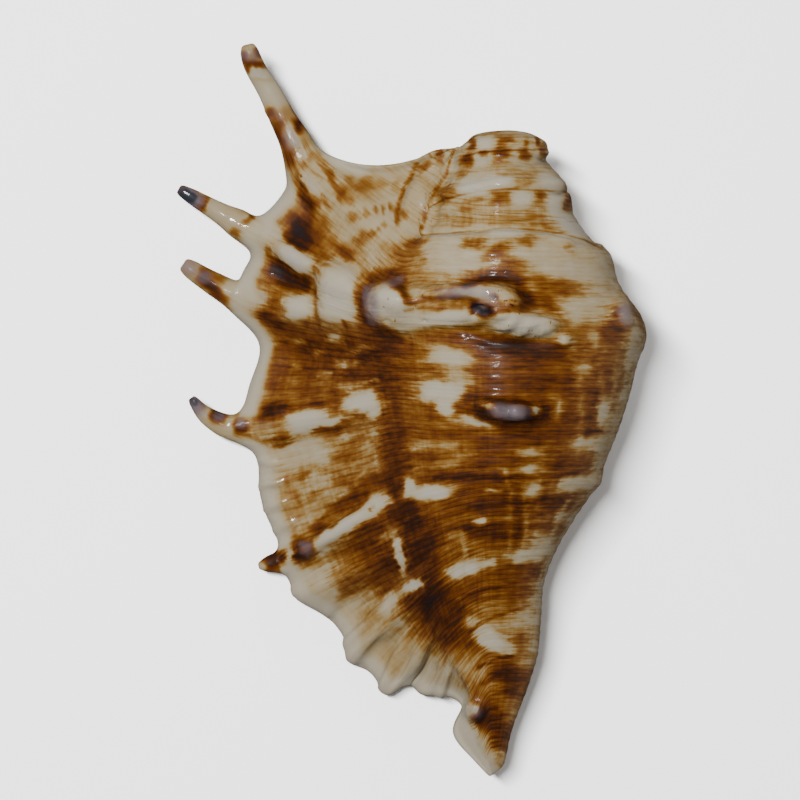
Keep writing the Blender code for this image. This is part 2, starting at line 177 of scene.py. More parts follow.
# The lip's edge: the line's y on the body's right edge, then x and y on the lip's edge.
EDGE = [
    (51.2, 5.7, 53.2), (45.0, -2.6, 50.7), (40.3, -11.2, 50.5), (35.6, -18.6, 52.8),
    (31.2, -22.3, 51.2), (27.5, -25.4, 47.6), (25.5, -26.4, 44.0), (23.6, -31.0, 39.3),
    (21.6, -33.0, 36.4), (19.5, -33.2, 32.9), (18.3, -33.3, 30.0), (16.6, -34.6, 27.8),
    (14.2, -34.9, 23.2), (11.7, -35.2, 18.7), (8.8, -30.9, 13.0), (5.6, -32.6, 6.2),
    (2.5, -34.1, 1.0), (-0.4, -34.3, -3.9), (-3.3, -33.0, -7.9), (-5.3, -31.1, -11.5),
    (-8.0, -30.9, -15.7), (-11.1, -29.6, -21.4), (-13.6, -27.3, -27.2), (-15.8, -27.5, -30.6),
    (-18.1, -25.6, -34.1), (-20.1, -24.2, -37.0), (-22.0, -22.7, -39.3), (-24.9, -17.5, -42.5),
    (-27.5, -13.6, -47.3), (-30.0, -13.1, -51.5), (-32.7, -8.4, -53.9), (-36.4, -5.6, -58.2),
    (-38.8, -2.8, -57.6), (-40.9, -0.3, -56.6), (-43.4, 1.9, -58.6), (-46.6, 6.3, -58.9),
    (-50.3, 9.4, -60.3), (-53.2, 9.8, -62.4), (-58.6, 8.3, -66.7), (-66.0, 11.9, -71.6),
    (-72.5, 15.0, -75.0),
]
# The body's right edge: y and x.
RIGHT_EDGE = [
    (54.2, 27.4), (51.1, 27.8), (45.1, 32.0), (34.4, 37.5), (28.0, 41.1), (21.0, 44.7),
    (17.0, 46.6), (14.8, 47.3), (12.5, 47.0), (9.3, 46.2), (3.9, 44.9), (-8.5, 40.6), (-14.6, 38.0),
    (-17.7, 36.4), (-23.9, 32.3), (-30.2, 28.9), (-36.5, 26.8), (-42.7, 26.3), (-49.0, 25.9),
    (-55.4, 24.2), (-61.8, 22.1), (-68.0, 19.6), (-71.5, 18.9), (-74.0, 18.9),
]
print("outline:", len(EDGE), "places on the lip's edge,", len(RIGHT_EDGE), "on the right edge")

# %% The fingers
# Each finger: the first of its two edge faces, the lift of its rib, and x, y, z and radius along it.
FINGERS = {
    "posterior": (3, 1.9, [
        (-24.2, 55.0, 8.8, 3.3), (-26.6, 59.4, 9.2, 2.7), (-29.6, 65.4, 10.4, 2.3),
        (-31.8, 69.0, 11.6, 2.1), (-33.3, 72.2, 13.0, 2.0), (-34.0, 74.7, 14.2, 1.5),
    ]),
    "second": (7, 1.7, [
        (-36.0, 38.2, 6.2, 3.0), (-38.7, 39.8, 6.6, 2.35), (-43.0, 42.3, 7.5, 1.8),
        (-47.6, 45.0, 8.8, 1.3),
    ]),
    "third": (11, 1.7, [
        (-37.6, 24.0, 5.4, 2.9), (-40.4, 25.5, 5.8, 2.5), (-43.6, 27.4, 6.4, 2.1),
        (-46.9, 29.6, 7.1, 1.7),
    ]),
    "fourth": (16, 2.0, [
        (-37.0, -3.6, 5.2, 2.8), (-39.6, -3.0, 5.6, 2.3), (-42.5, -1.3, 6.6, 1.8),
        (-44.3, 0.5, 7.6, 1.3), (-45.5, 2.1, 8.4, 0.9),
    ]),
    "fifth": (22, 1.8, [
        (-28.0, -31.5, 4.4, 2.2), (-29.9, -31.9, 4.4, 1.6), (-31.6, -32.3, 4.3, 0.8),
    ]),
}
# Rounding shrinks a ring, so the rings are made larger by this.
RING_SWELL = 1.05
print("fingers:", ", ".join(FINGERS))

# %% Crest, sides and underside
# The crest of the back: its x, and then its height.
CREST_X = [(54.0, 18.0), (18.0, 18.5), (-8.0, 18.0), (-27.0, 17.0), (-50.0, 16.5), (-72.5, 16.6)]
CREST_Z = [
    (54.0, 28.2), (45.0, 33.4), (35.6, 38.2), (25.5, 42.4), (18.0, 44.0), (8.8, 43.8), (-0.4, 42.4),
    (-8.0, 40.4), (-15.8, 37.4), (-22.0, 34.4), (-27.5, 31.4), (-36.4, 26.6), (-43.4, 23.2),
    (-50.3, 20.4), (-58.6, 17.8), (-66.0, 15.4), (-72.5, 13.2),
]
# The heights of the right edge and of the underside.
SIDE_Z = [
    (54.0, 20.0), (35.0, 21.0), (14.0, 21.0), (-8.0, 20.0), (-27.0, 17.0), (-50.0, 13.5),
    (-72.5, 10.6),
]
UNDER_Z = [
    (54.0, 12.6), (45.0, 7.4), (35.6, 3.0), (31.2, 1.4), (25.5, 0.1), (18.0, -0.4), (8.8, -0.5),
    (-0.4, -0.3), (-8.0, 0.5), (-15.8, 1.9), (-27.5, 4.0), (-36.4, 5.2), (-50.3, 6.2), (-72.5, 8.2),
]
# The back sweeps from the lip's root to the crest at 1, and on to the right edge at the end.
BACK_SWEEP = 1.55
BACK_BOW = 1.8
# The underside has turned level at 1 / UNDER_TURN of the way to the columella.
UNDER_TURN = 1.2
print("crest:", max(z for _, z in CREST_Z), "mm high")

# %% The lip
# Where the lip springs from the body: x, y and height, and then the wall's thickness there.
LIP_ROOT = [
    (51.2, 8.1, 51.6, 22.0), (45.0, 5.2, 45.4, 24.4), (40.3, 3.0, 41.9, 26.0),
    (35.6, 1.7, 36.6, 28.4), (31.2, -1.5, 32.3, 30.4), (25.5, -5.7, 26.5, 31.4),
    (21.6, -7.6, 22.4, 31.4), (14.2, -6.9, 16.0, 31.2), (8.8, -5.7, 9.7, 31.0),
    (-0.4, -4.0, 0.8, 30.4), (-8.0, -2.6, -8.4, 29.4), (-15.8, -0.5, -19.7, 27.6),
    (-22.0, 1.1, -26.9, 26.0), (-27.5, 3.0, -34.1, 24.2), (-36.4, 5.7, -42.3, 21.2),
    (-43.4, 7.7, -49.5, 19.0), (-50.3, 11.0, -56.2, 16.9), (-53.2, 12.2, -59.8, 16.2),
    (-58.6, 13.0, -64.2, 14.9), (-66.0, 14.2, -69.8, 13.1), (-72.5, 15.9, -73.8, 11.8),
]
LIP_ROOT_WALL = [(51.2, 5.5), (35.6, 5.8), (-15.8, 5.6), (-43.4, 4.6), (-72.5, 2.6)]
# The lip's edge: its height and its thickness.
EDGE_Z = [
    (51.2, 19.0), (45.0, 15.5), (40.3, 11.6), (35.6, 8.6), (27.5, 7.2), (21.6, 5.6), (14.2, 4.6),
    (8.8, 2.5), (6.2, 2.3), (2.5, 3.6), (-3.3, 4.2), (-8.0, 3.4), (-18.1, 3.2), (-24.9, 1.8),
    (-30.0, 1.6), (-36.4, 2.6), (-43.4, 4.0), (-50.3, 6.6), (-58.6, 8.2), (-72.5, 9.6),
]
EDGE_THICKNESS = [
    (51.2, 5.0), (35.6, 5.2), (14.2, 5.4), (-8.0, 5.2), (-24.9, 3.8), (-43.4, 3.2), (-72.5, 2.4),
]
# Which lines of the cage run along a flute or a hollow of the lip, and its height.
FLUTES = [(26, 1.1), (29, 1.3), (31, 1.4), (34, 1.1)]
HOLLOWS = [(27, -0.8), (30, -0.7), (33, -1.1)]
# The lip's back bows half as a straight line and half as a parabola. A rib starts this far in.
LIP_BOW = 0.5
RIB_START = 0.25
print("lip's edge:", min(t for _, t in EDGE_THICKNESS), "to", max(t for _, t in EDGE_THICKNESS), "mm thick")

# %% [markdown]
# The columella is the pillar that the whorls wind round. Behind it the aperture runs up into the
# last half turn, as a pocket with a core, a wall and a roof. Towards both ends of the body the
# pocket gets shallower, until it is shut.

# %% Columella and pocket
COLUMELLA_X = [
    (51.2, 13.0), (35.6, 6.4), (20.0, 5.2), (-0.4, 5.8), (-15.8, 8.0), (-27.5, 10.2),
    (-43.4, 13.4), (-50.3, 14.8), (-58.6, 16.3), (-72.5, 17.2),
]
COLUMELLA_LIFT = 1.2
# How deep the pocket is, from shut at 0 to open at 1.
POCKET_DEPTH = [
    (47.0, 0.0), (40.0, 0.25), (30.0, 0.85), (22.0, 1.0), (-22.0, 1.0), (-36.4, 0.8),
    (-50.3, 0.4), (-60.0, 0.0),
]
# How wide the core is, how thick the roof over it, and how far the wall's points stand from the
# columella, in shares of the core's width and the room's height.
CORE_SHARE = 0.42
ROOF_THICKNESS = 5.0
ROOF_CURVE = 0.8
POCKET_WALL = [(0.5, 0.32), (1.5, 0.78)]
POCKET_ROOF = 0.75
POCKET_TO_THROAT = (0.55, 0.38)
# Where the aperture is shut, its floor bends at this corner between the columella and the throat.
CORNER = (0.7, 0.2)
print("pocket open from", POCKET_DEPTH[0][0], "to", POCKET_DEPTH[-1][0], "mm along the body")

# %% The two ends
# The spire's axis, and the rings of its top: y, half width and half height.
SPIRE_X, SPIRE_Z = 18.6, 20.2
SPIRE_RINGS = [(54.2, 8.7, 8.2), (56.2, 6.2, 5.9), (57.1, 3.2, 3.0)]
APEX_Y = 57.4
CANAL_TIP = (16.4, -75.4, 10.4)
print("lines of the cage:", len(EDGE) + len(SPIRE_RINGS), "with", AROUND, "points each")

# %% [markdown]
# A curve through a table mustn't overshoot, or the shell would bulge between two lines. So the
# slope at a key is the harmonic mean of the rises on its two sides, and 0 where their signs differ.

# %% Smooth curves through keyed points
def curve(keys, at):
    """The value at a key, or the tuple of values, on a smooth curve through the keyed points.

    at may be a number or an array of them.
    """
    points = np.array(sorted(keys), float)
    where, values = points[:, 0], points[:, 1:]
    many = np.clip(np.atleast_1d(np.asarray(at, float)), where[0], where[-1])
    i = np.clip(np.searchsorted(where, many, side="right") - 1, 0, len(where) - 2)
    spans = np.diff(where)[:, None]
    rises = np.diff(values, axis=0) / spans
    both = rises[:-1] * rises[1:]
    sums = rises[:-1] + rises[1:]
    bends = np.divide(2 * both, sums, out=np.zeros_like(both), where=both > 0)
    slopes = np.concatenate([rises[:1], bends, rises[-1:]])
    t = ((many - where[i]) / spans[i, 0])[:, None]
    drawn = (
        values[i] * (1 + 2 * t) * (1 - t) ** 2 + values[i + 1] * t * t * (3 - 2 * t)
        + spans[i] * (slopes[i] * t * (1 - t) ** 2 - slopes[i + 1] * t * t * (1 - t))
    )
    if drawn.shape[1] == 1:
        drawn = drawn[:, 0]
    if np.ndim(at):
        return drawn
    return drawn[0] if np.ndim(drawn[0]) == 0 else tuple(drawn[0])


def shares(count):
    """The shares of the way at count points spaced evenly between two ends."""
    return [(k + 1) / (count + 1) for k in range(count)]


def smooth_step(low, high, value):
    """0 below low, 1 above high, and a smooth rise between."""
    t = np.clip((value - low) / (high - low), 0.0, 1.0)
    return t * t * (3 - 2 * t)


def band(value, start, full, still, end):
    """A smooth rise from 0 to 1 between start and full, and a fall between still and end."""
    return smooth_step(start, full, value) * (1 - smooth_step(still, end, value))


print("crest at the middle:", round(curve(CREST_Z, 0.0), 1), "mm high")

# %% [markdown]
# One line of the cage is a section through the shell. It is laid point by point from the curves:
# over the lip, up the back to the crest, down the right side, and back underneath.

# %% One line of the cage
def rib_lift(line):
    """How far the back of the lip is lifted on this line, behind a finger or on a flute."""
    lifts = {first + 1: lift for first, lift, _ in FINGERS.values()}
    lifts.update(dict(FLUTES))
    lifts.update(dict(HOLLOWS))
    return lifts.get(line, 0.0)


def seen_at(x, y, z):
    """The point at height z that the eye above sees at x and y of the measured outline."""
    spread = (EYE_HEIGHT - z) / (EYE_HEIGHT - MEASURED_AT)
    return Vector((EYE[0] + (x - EYE[0]) * spread, EYE[1] + (y - EYE[1]) * spread, z))


def line_points(line):
    """The points of one line of the cage, round the shell from the top of the lip's edge."""
    height, edge_x, edge_y = EDGE[line]
    root = Vector(curve(LIP_ROOT, height))
    edge_z, thick = curve(EDGE_Z, height), curve(EDGE_THICKNESS, height)
    edge = seen_at(edge_x, edge_y, edge_z + thick / 2)
    crest = Vector((curve(CREST_X, height), height, curve(CREST_Z, height)))
    right = seen_at(curve(RIGHT_EDGE, height), height, curve(SIDE_Z, height))
    under_z = curve(UNDER_Z, height)
    columella = Vector((curve(COLUMELLA_X, height), height, under_z + COLUMELLA_LIFT))
    wall, depth = curve(LIP_ROOT_WALL, height), curve(POCKET_DEPTH, height)
    lift = rib_lift(line)

    def lip(share):
        """A point on the back of the lip, share of the way from its edge to its root."""
        point = edge.lerp(root, share)
        point.z = edge.z + (root.z - edge.z) * (LIP_BOW * share + (1 - LIP_BOW) * share * share)
        point.z += lift * math.sin(math.pi * min(1.0, RIB_START + (1 - RIB_START) * share))
        return point

    def inner(share):
        """The point under it, on the inside of the lip."""
        return lip(share) - Vector((0, 0, thick + (wall - thick) * share))

    points = [lip(0)]
    points += [lip(s) for s in shares(LIP_POINTS)]
    points.append(root)
    for s in shares(BACK_POINTS):
        turn = s * BACK_SWEEP
        if turn < 1:
            point = root.lerp(crest, turn)
            point.z = root.z + (crest.z - root.z) * (1 - (1 - turn) ** BACK_BOW)
            point.y = root.y + (crest.y - root.y) * math.sin(turn * math.pi / 2)
        else:
            angle = (turn - 1) / (BACK_SWEEP - 1) * math.pi / 2
            point = Vector((
                crest.x + (right.x - crest.x) * math.sin(angle),
                height,
                right.z + (crest.z - right.z) * math.cos(angle),
            ))
        points.append(point)
    points.append(right)
    for s in shares(UNDER_POINTS):
        angle = min(s * UNDER_TURN, 1.0) * math.pi / 2
        past = max(0.0, s * UNDER_TURN - 1.0) / (UNDER_TURN - 1.0)
        middle = (columella.x + right.x) / 2
        bend = middle + (right.x - middle) * math.cos(angle)
        points.append(Vector((
            bend + (columella.x - bend) * past / 2,
            height,
            right.z + (under_z - right.z) * math.sin(angle),
        )))
    points.append(columella)
    throat = inner(1.0)
    throat.y = root.y
    core = CORE_SHARE * (crest.x - columella.x)
    ceiling = crest.z - ROOF_THICKNESS
    room = ceiling - columella.z
    open_pocket = [
        Vector((columella.x + out * core, height, columella.z + up * room))
        for out, up in POCKET_WALL
    ]
    open_pocket.append(Vector((columella.x + POCKET_ROOF * core, height, ceiling - ROOF_CURVE)))
    to_throat, down = POCKET_TO_THROAT
    open_pocket.append(Vector((
        throat.x * to_throat + columella.x * (1 - to_throat),
        height,
        throat.z * down + ceiling * (1 - down),
    )))
    corner = columella.lerp(throat, CORNER[0])
    corner.z = columella.z + CORNER[1] * (throat.z - columella.z)
    for s, deep in zip(shares(POCKET_POINTS), open_pocket):
        flat = columella.lerp(corner, s).lerp(corner.lerp(throat, s), s)
        point = flat.lerp(deep, depth)
        point.y = height + (root.y - height) * s
        points.append(point)
    points.append(throat)
    points += [inner(1 - s) for s in shares(INNER_LIP_POINTS)]
    points.append(inner(0))
    return points


# Where the points of a line stand round the spire's top, in degrees.
RING_ANGLES = [176, 173, 170, 167, 164, 160, 138, 114, 90, 62, 32, 0, -30, -58, -88, -116]
RING_ANGLES += [-127, -135, -143, -150, -157, -162, -166, -170, -174]


def ring_points(height, across, up):
    """A plain ring of the spire's top, its points in the order of line_points."""
    return [
        Vector((
            SPIRE_X + across * math.cos(math.radians(a)),
            height,
            SPIRE_Z + up * math.sin(math.radians(a)),
        ))
        for a in RING_ANGLES
    ]


print("a line's first point:", [round(x, 1) for x in line_points(0)[0]])

# %% [markdown]
# A grid is folded round these lines, its ends are closed with fans, and the fingers are drawn out
# of the lip's edge by extruding two edge faces along each centre line. Three layers remember for
# every point its row, its side and how far along a finger it is. Drawing the fingers out of the
# same skin, rather than joining five cones to it, leaves no crease at their roots.

# %% Building the cage
FINGER_TURN = 60
MERGE_DISTANCE = 1e-5


def close_end(bm, row, layers, tip):
    """Closes an open end of the cage with a fan of faces about its tip."""
    rim = [e for e in bm.edges if e.is_boundary and all(v[layers[0]] == row for v in e.verts)]
    face = bmesh.ops.contextual_create(bm, geom=rim)["faces"][0]
    middle = bmesh.ops.poke(bm, faces=[face])["verts"][0]
    middle.co = tip
    middle[layers[0]] = row


def draw_finger(bm, row, centre_line, layers):
    """Extrudes the two edge faces that start at this row along a finger's centre line."""
    row_of, side_of, reach_of = layers
    rows = (row, row + 1, row + 2)
    edge_sides = (0, AROUND, AROUND - 1)
    faces = [
        f for f in bm.faces
        if all(v[row_of] in rows and v[side_of] in edge_sides for v in f.verts)
    ]
    path = [seen_at(*p[:3]) for p in centre_line]
    for k, place in enumerate(centre_line):
        made = bmesh.ops.extrude_face_region(bm, geom=faces)["geom"]
        bmesh.ops.delete(bm, geom=faces, context="FACES_ONLY")
        faces = [g for g in made if isinstance(g, bmesh.types.BMFace)]
        before, after = path[max(k - 1, 0)], path[min(k + 1, len(path) - 1)]
        along = (after - before).normalized()
        side = along.cross(Vector((0, 0, 1))).normalized()
        up = side.cross(along).normalized()
        radius = place[3] * RING_SWELL
        for vert in {v for f in faces for v in f.verts}:
            across = vert[row_of] - (row + 1)
            top = 1 if vert[side_of] in (0, AROUND) else -1
            angle = math.radians(90 + FINGER_TURN * across) * top
            lean = side * math.cos(angle) + up * math.sin(angle)
            vert.co = path[k] + lean * radius
            vert[reach_of] = k + 1


def cage():
    """The cage as a bmesh, closed at both ends, with the fingers drawn out of the lip's edge."""
    lines = [ring_points(*ring) for ring in reversed(SPIRE_RINGS)]
    lines += [line_points(k) for k in range(len(EDGE))]
    first_edge = len(SPIRE_RINGS)
    bm = bmesh.new()
    layers = (
        bm.verts.layers.int.new("row"), bm.verts.layers.int.new("side"),
        bm.verts.layers.float.new("reach"),
    )
    bmesh.ops.create_grid(bm, x_segments=AROUND, y_segments=len(lines) - 1, size=1)
    grid = {}
    for vert in bm.verts:
        around = round((vert.co.x + 1) / 2 * AROUND)
        row = round((vert.co.y + 1) / 2 * (len(lines) - 1))
        vert[layers[0]] = row
        vert[layers[1]] = around
        grid[vert] = lines[row][around % AROUND]
    for vert, place in grid.items():
        vert.co = place
    bmesh.ops.remove_doubles(bm, verts=bm.verts, dist=MERGE_DISTANCE)
    close_end(bm, 0, layers, Vector((SPIRE_X, APEX_Y, SPIRE_Z)))
    close_end(bm, len(lines) - 1, layers, seen_at(*CANAL_TIP))
    for first, _, centre_line in FINGERS.values():
        draw_finger(bm, first_edge + first, centre_line, layers)
    bmesh.ops.recalc_face_normals(bm, faces=bm.faces)
    if bm.calc_volume(signed=True) < 0:
        bmesh.ops.reverse_faces(bm, faces=bm.faces)
    return bm


bm = cage()
cage_mesh = bpy.data.meshes.new("cage")
bm.to_mesh(cage_mesh)
bm.free()
print("cage:", len(cage_mesh.polygons), "faces")

# %% [markdown]
# ## Rounding
# Subdivision pulls a surface inside its cage, so the cage is pushed out until the rounded surface
# passes through its points. The same subdivision also carries two charts along: a twin of the
# cage whose points stand for "which cord, which way round" gives every fine point a smooth place
# on the shell, as a map gives a town its street and number.

# %% Rounding the cage
LEVELS = 3
FITTING_ROUNDS = 4


def points_of(mesh):
    """The mesh's points as an array."""
    flat = np.empty(len(mesh.vertices) * 3)
    mesh.vertices.foreach_get("co", flat)
    return flat.reshape(-1, 3)


def put_points(mesh, points):
    """Moves the mesh's points to these places."""
    mesh.vertices.foreach_set("co", np.ascontiguousarray(points, np.float64).ravel())
    mesh.update()


def rounded(mesh, name):
    """A new mesh: the subdivided mesh. Its first points are those of the cage."""
    guide = bpy.data.objects.new("guide", mesh)
    bpy.context.scene.collection.objects.link(guide)
    smooth = guide.modifiers.new("Subdivision", "SUBSURF")
    smooth.levels = smooth.render_levels = LEVELS
    seen_guide = guide.evaluated_get(bpy.context.evaluated_depsgraph_get())
    made = bpy.data.meshes.new_from_object(seen_guide)
    made.name = name
    bpy.data.objects.remove(guide)
    return made


def carried(triples):
    """Smooth values on the rounded surface, from three values at each point of the cage."""
    twin = cage_mesh.copy()
    put_points(twin, triples)
    chart = rounded(twin, "chart")
    values = points_of(chart)
    bpy.data.meshes.remove(chart)
    bpy.data.meshes.remove(twin)
    return values


wanted = points_of(cage_mesh)
for _ in range(FITTING_ROUNDS):
    trial = rounded(cage_mesh, "trial")
    drawn = points_of(trial)[: len(wanted)]
    put_points(cage_mesh, points_of(cage_mesh) + wanted - drawn)
    bpy.data.meshes.remove(trial)
shell_mesh = rounded(cage_mesh, "shell_detailed")
print("rounded:", len(shell_mesh.polygons), "faces")

# %% [markdown]
# The charts say where a point is along the body (its cord), how far round (its way), how far out
# on a finger (its reach) and on which line (its row). The way is a full turn, so it is carried as
# a cosine and a sine, which have no jump where the turn closes.

# %% Charts over the surface
rows = np.array([a.value for a in cage_mesh.attributes["row"].data], float)
sides = np.array([a.value for a in cage_mesh.attributes["side"].data], float)
reaches = np.array([a.value for a in cage_mesh.attributes["reach"].data], float)
ROW_HEIGHTS = [(k, ring[0]) for k, ring in enumerate(reversed(SPIRE_RINGS))]
ROW_HEIGHTS += [(len(SPIRE_RINGS) + k, line[0]) for k, line in enumerate(EDGE)]
turn = sides / AROUND * 2 * math.pi
chart = carried(np.stack([np.cos(turn), np.sin(turn), curve(ROW_HEIGHTS, rows)], axis=1))
way = np.mod(np.arctan2(chart[:, 1], chart[:, 0]) / (2 * math.pi) * AROUND, AROUND)
cord = chart[:, 2]
chart = carried(np.stack([reaches, rows, np.zeros(len(rows))], axis=1))
reach, row = chart[:, 0], chart[:, 1]
print("cords run from", round(cord.max(), 1), "to", round(cord.min(), 1), "mm")

# %% [markdown]
# The back carries the knobs, and its quads are longer across than along, so they are split once
# more across. The charts ride along as point attributes and come back finer too.

# %% A finer back
BACK_FROM, BACK_TO = 4.95, 11.3
CHARTS = ("cord", "way", "reach", "row")


def keep_fields(fields):
    """Writes each field on the mesh as an attribute of its points."""
    for name, values in fields.items():
        layer = shell_mesh.attributes.new(name, "FLOAT", "POINT")
        layer.data.foreach_set("value", np.ascontiguousarray(values, np.float32))


for name in ("row", "side", "reach"):
    shell_mesh.attributes.remove(shell_mesh.attributes[name])
keep_fields(dict(zip(CHARTS, (cord, way, reach, row))))
bm = bmesh.new()
bm.from_mesh(shell_mesh)
way_of, row_of = (bm.verts.layers.float[name] for name in ("way", "row"))
across = [
    e for e in bm.edges
    if all(BACK_FROM < v[way_of] < BACK_TO for v in e.verts)
    and abs(e.verts[0][way_of] - e.verts[1][way_of]) > abs(e.verts[0][row_of] - e.verts[1][row_of])
]
bmesh.ops.subdivide_edges(bm, edges=across, cuts=1, use_grid_fill=True)
bm.to_mesh(shell_mesh)
bm.free()
cord, way, reach, row = (
    np.array([a.value for a in shell_mesh.attributes[name].data]) for name in CHARTS
)
for name in CHARTS:
    shell_mesh.attributes.remove(shell_mesh.attributes[name])
print("finer:", len(shell_mesh.polygons), "faces", sorted({len(f.vertices) for f in shell_mesh.polygons}))

# %% [markdown]
# ## Whorls and knobs
# The whorls of the spire stand out from a plain cone and meet in seams. The knobs are the blunt
# spines that the animal left on its shoulder. Both are raised along the surface's own direction.

# %% Dimensions of the whorls
# The y of each seam and its number, and then how far the surface stands out between the seams.
SEAMS = [(20.0, -1.0), (34.6, 0.0), (45.1, 1.0), (51.4, 2.0), (57.6, 3.0)]
WHORLS_FROM = 20.0
WHORL_PROFILE = [
    (-1.0, 0.0), (-0.6, 0.1), (-0.42, 0.9), (-0.28, 1.5), (-0.12, 1.1), (-0.02, 0.1), (0.03, -0.3),
    (0.12, -0.75), (0.33, -1.35), (0.52, -1.6), (0.64, -1.25), (0.8, -0.5), (0.96, -0.1),
    (1.0, -0.35), (1.08, 0.3), (1.34, 0.35), (1.66, 0.0), (1.92, -0.3), (2.0, -0.6), (2.1, 0.1),
    (2.5, 0.4), (3.0, 0.0),
]
# The whorls' relief grows with the distance from the spire's axis until here.
WHORL_REACH = 9.0
# On the upper side the seams begin to slope at the first y, and slope fully from the second on.
SLOPE_FROM_TO = (36.0, 43.0)
# The relief fades where the surface faces along the axis, and to the left of the spire.
FACING_OUT = (0.1, 0.5)
LEFT_OF_SPIRE = (-4.0, 6.0)
print("seams:", len(SEAMS))

# %% Dimensions of the knobs
# x, y, length along x, length along y, turn in degrees and height.
KNOBS = [
    (-4.6, 20.4, 5.4, 4.6, 0, 3.6), (5.6, 21.6, 8.6, 2.8, -4, 2.9), (16.4, 20.9, 6.0, 4.0, -10, 4.0),
    (23.4, 16.4, 6.0, 2.2, -12, 1.4), (18.8, -0.6, 6.2, 2.5, -4, 2.5), (43.0, 17.4, 4.4, 4.4, 0, 1.8),
    (1.6, 45.5, 7.5, 2.2, 63, 1.3), (5.0, 43.5, 8.5, 1.1, 66, -1.1), (30.0, 13.6, 1.5, 1.4, 0, 0.6),
    (13.6, -23.0, 1.1, 1.1, 0, 0.4), (38.0, -14.8, 3.0, 2.0, 0, 0.7), (-16.0, 24.8, 4.8, 5.8, 20, 1.5),
    (13.0, -62.4, 1.8, 2.2, 0, 0.8),
]
KNOB_BLUNTNESS = 1.35
# Knobs belong to the back alone: the surface faces up there and lies above this height.
KNOBS_FACE, KNOBS_ABOVE = -0.2, 12
# x, y, z, radius and height of the nodes on the shoulder below.
SHOULDER_NODES = [(45.5, 15.0, 14.0, 4.0, 1.6), (37.0, 14.0, 4.5, 3.8, 1.3), (27.0, 16.0, 0.5, 3.4, 0.9)]
print(len(KNOBS), "knobs and", len(SHOULDER_NODES), "nodes")


# %% Raising the whorls and knobs
def normals_of(mesh):
    """The directions in which the mesh's points face, as an array."""
    flat = np.empty(len(mesh.vertices) * 3)
    mesh.vertices.foreach_get("normal", flat)
    return flat.reshape(-1, 3)


def whorl_relief(points, normals):
    """How far the surface of the spire stands out from its plain cone."""
    x, y, z = points.T
    turn = np.arctan2(z - SPIRE_Z, x - SPIRE_X)
    drop = np.where(turn > 0, smooth_step(*SLOPE_FROM_TO, y), 1.0)
    whorl = curve(SEAMS, y) + turn / (2 * math.pi) * drop
    reach_out = np.hypot(z - SPIRE_Z, x - SPIRE_X)
    outward = np.stack([x - SPIRE_X, np.zeros(len(x)), z - SPIRE_Z], axis=1)
    outward /= np.maximum(np.linalg.norm(outward, axis=1), 1e-6)[:, None]
    facing = smooth_step(*FACING_OUT, (normals * outward).sum(axis=1))
    facing *= smooth_step(*LEFT_OF_SPIRE, x)
    rise = curve(WHORL_PROFILE, whorl) * np.minimum(1.0, reach_out / WHORL_REACH)
    return np.where(y > WHORLS_FROM, rise * facing, 0.0)


def knob_relief(points, normals):
    """How far the knobs raise the surface."""
    height = np.zeros(len(points))
    for x, y, long, wide, turn, rise in KNOBS:
        angle = math.radians(turn)
        across, along = points[:, 0] - x, points[:, 1] - y
        a = across * math.cos(angle) + along * math.sin(angle)
        b = along * math.cos(angle) - across * math.sin(angle)
        height += rise * np.exp(-((a / long) ** 2 + (b / wide) ** 2) ** KNOB_BLUNTNESS)
    height[(normals[:, 2] <= KNOBS_FACE) | (points[:, 2] <= KNOBS_ABOVE)] = 0.0
    for x, y, z, radius, rise in SHOULDER_NODES:
        away = np.linalg.norm(points - (x, y, z), axis=1) / radius
        height += rise * np.exp(-away * away)
    return height


points, normals = points_of(shell_mesh), normals_of(shell_mesh)
step = knob_relief(points, normals) + whorl_relief(points, normals)
put_points(shell_mesh, points + normals * step[:, None])
print("highest knob:", round(step.max(), 1), "mm")

# %% [markdown]
# ## Places on the back
# The solid's box was centred over the frame's origin, so the drawn shell moves by the same amount.
# From here on every point also has its place in the picture, where folds and marks are named.

# %% Places on the back
TO_FRAME = np.array((0.91, 0.30, 0.0))


def seen_places():
    """Where each point of the shell is seen from the camera."""
    return seen((points_of(shell_mesh) + TO_FRAME) * MM)


SQUARENESS = 3.2


def spot(places, x, y, long, wide, turn, blunt):
    """1 in the middle of a squarish oval, falling to 0 outside; turn is in degrees, left side up."""
    angle = math.radians(turn)
    across, up = places[:, 0] - x, y - places[:, 1]
    a = (across * math.cos(angle) + up * math.sin(angle)) / long
    b = (up * math.cos(angle) - across * math.sin(angle)) / wide
    return np.exp(-(np.abs(a) ** SQUARENESS + np.abs(b) ** SQUARENESS) ** (2 * blunt / SQUARENESS))


def path_distance(places, path):
    """How far each place is from a path of straight runs, in pixels."""
    points = np.array(path, float)
    nearest = np.full(len(places), 1e9)
    for a, b in zip(points[:-1], points[1:]):
        run = b - a
        t = np.clip(((places - a) @ run) / (run @ run), 0.0, 1.0)[:, None]
        nearest = np.minimum(nearest, np.linalg.norm(places - a - t * run, axis=1))
    return nearest


def stroke(places, path, half_width):
    """1 along a path, falling smoothly to 0 beside it."""
    return np.exp(-(path_distance(places, path) / half_width) ** 2)


places = seen_places()
print("the shell is seen from", places.min(axis=0).round(), "to", places.max(axis=0).round())

# %% [markdown]
# ## Folds and warts
# Up close the knobs are not smooth: the front one is a double ridge with a pit in it and wavy
# folds running off to the right, and the lip is fluted towards its lower edge. Each fold is an
# oval, raised or sunk, placed where it is seen.

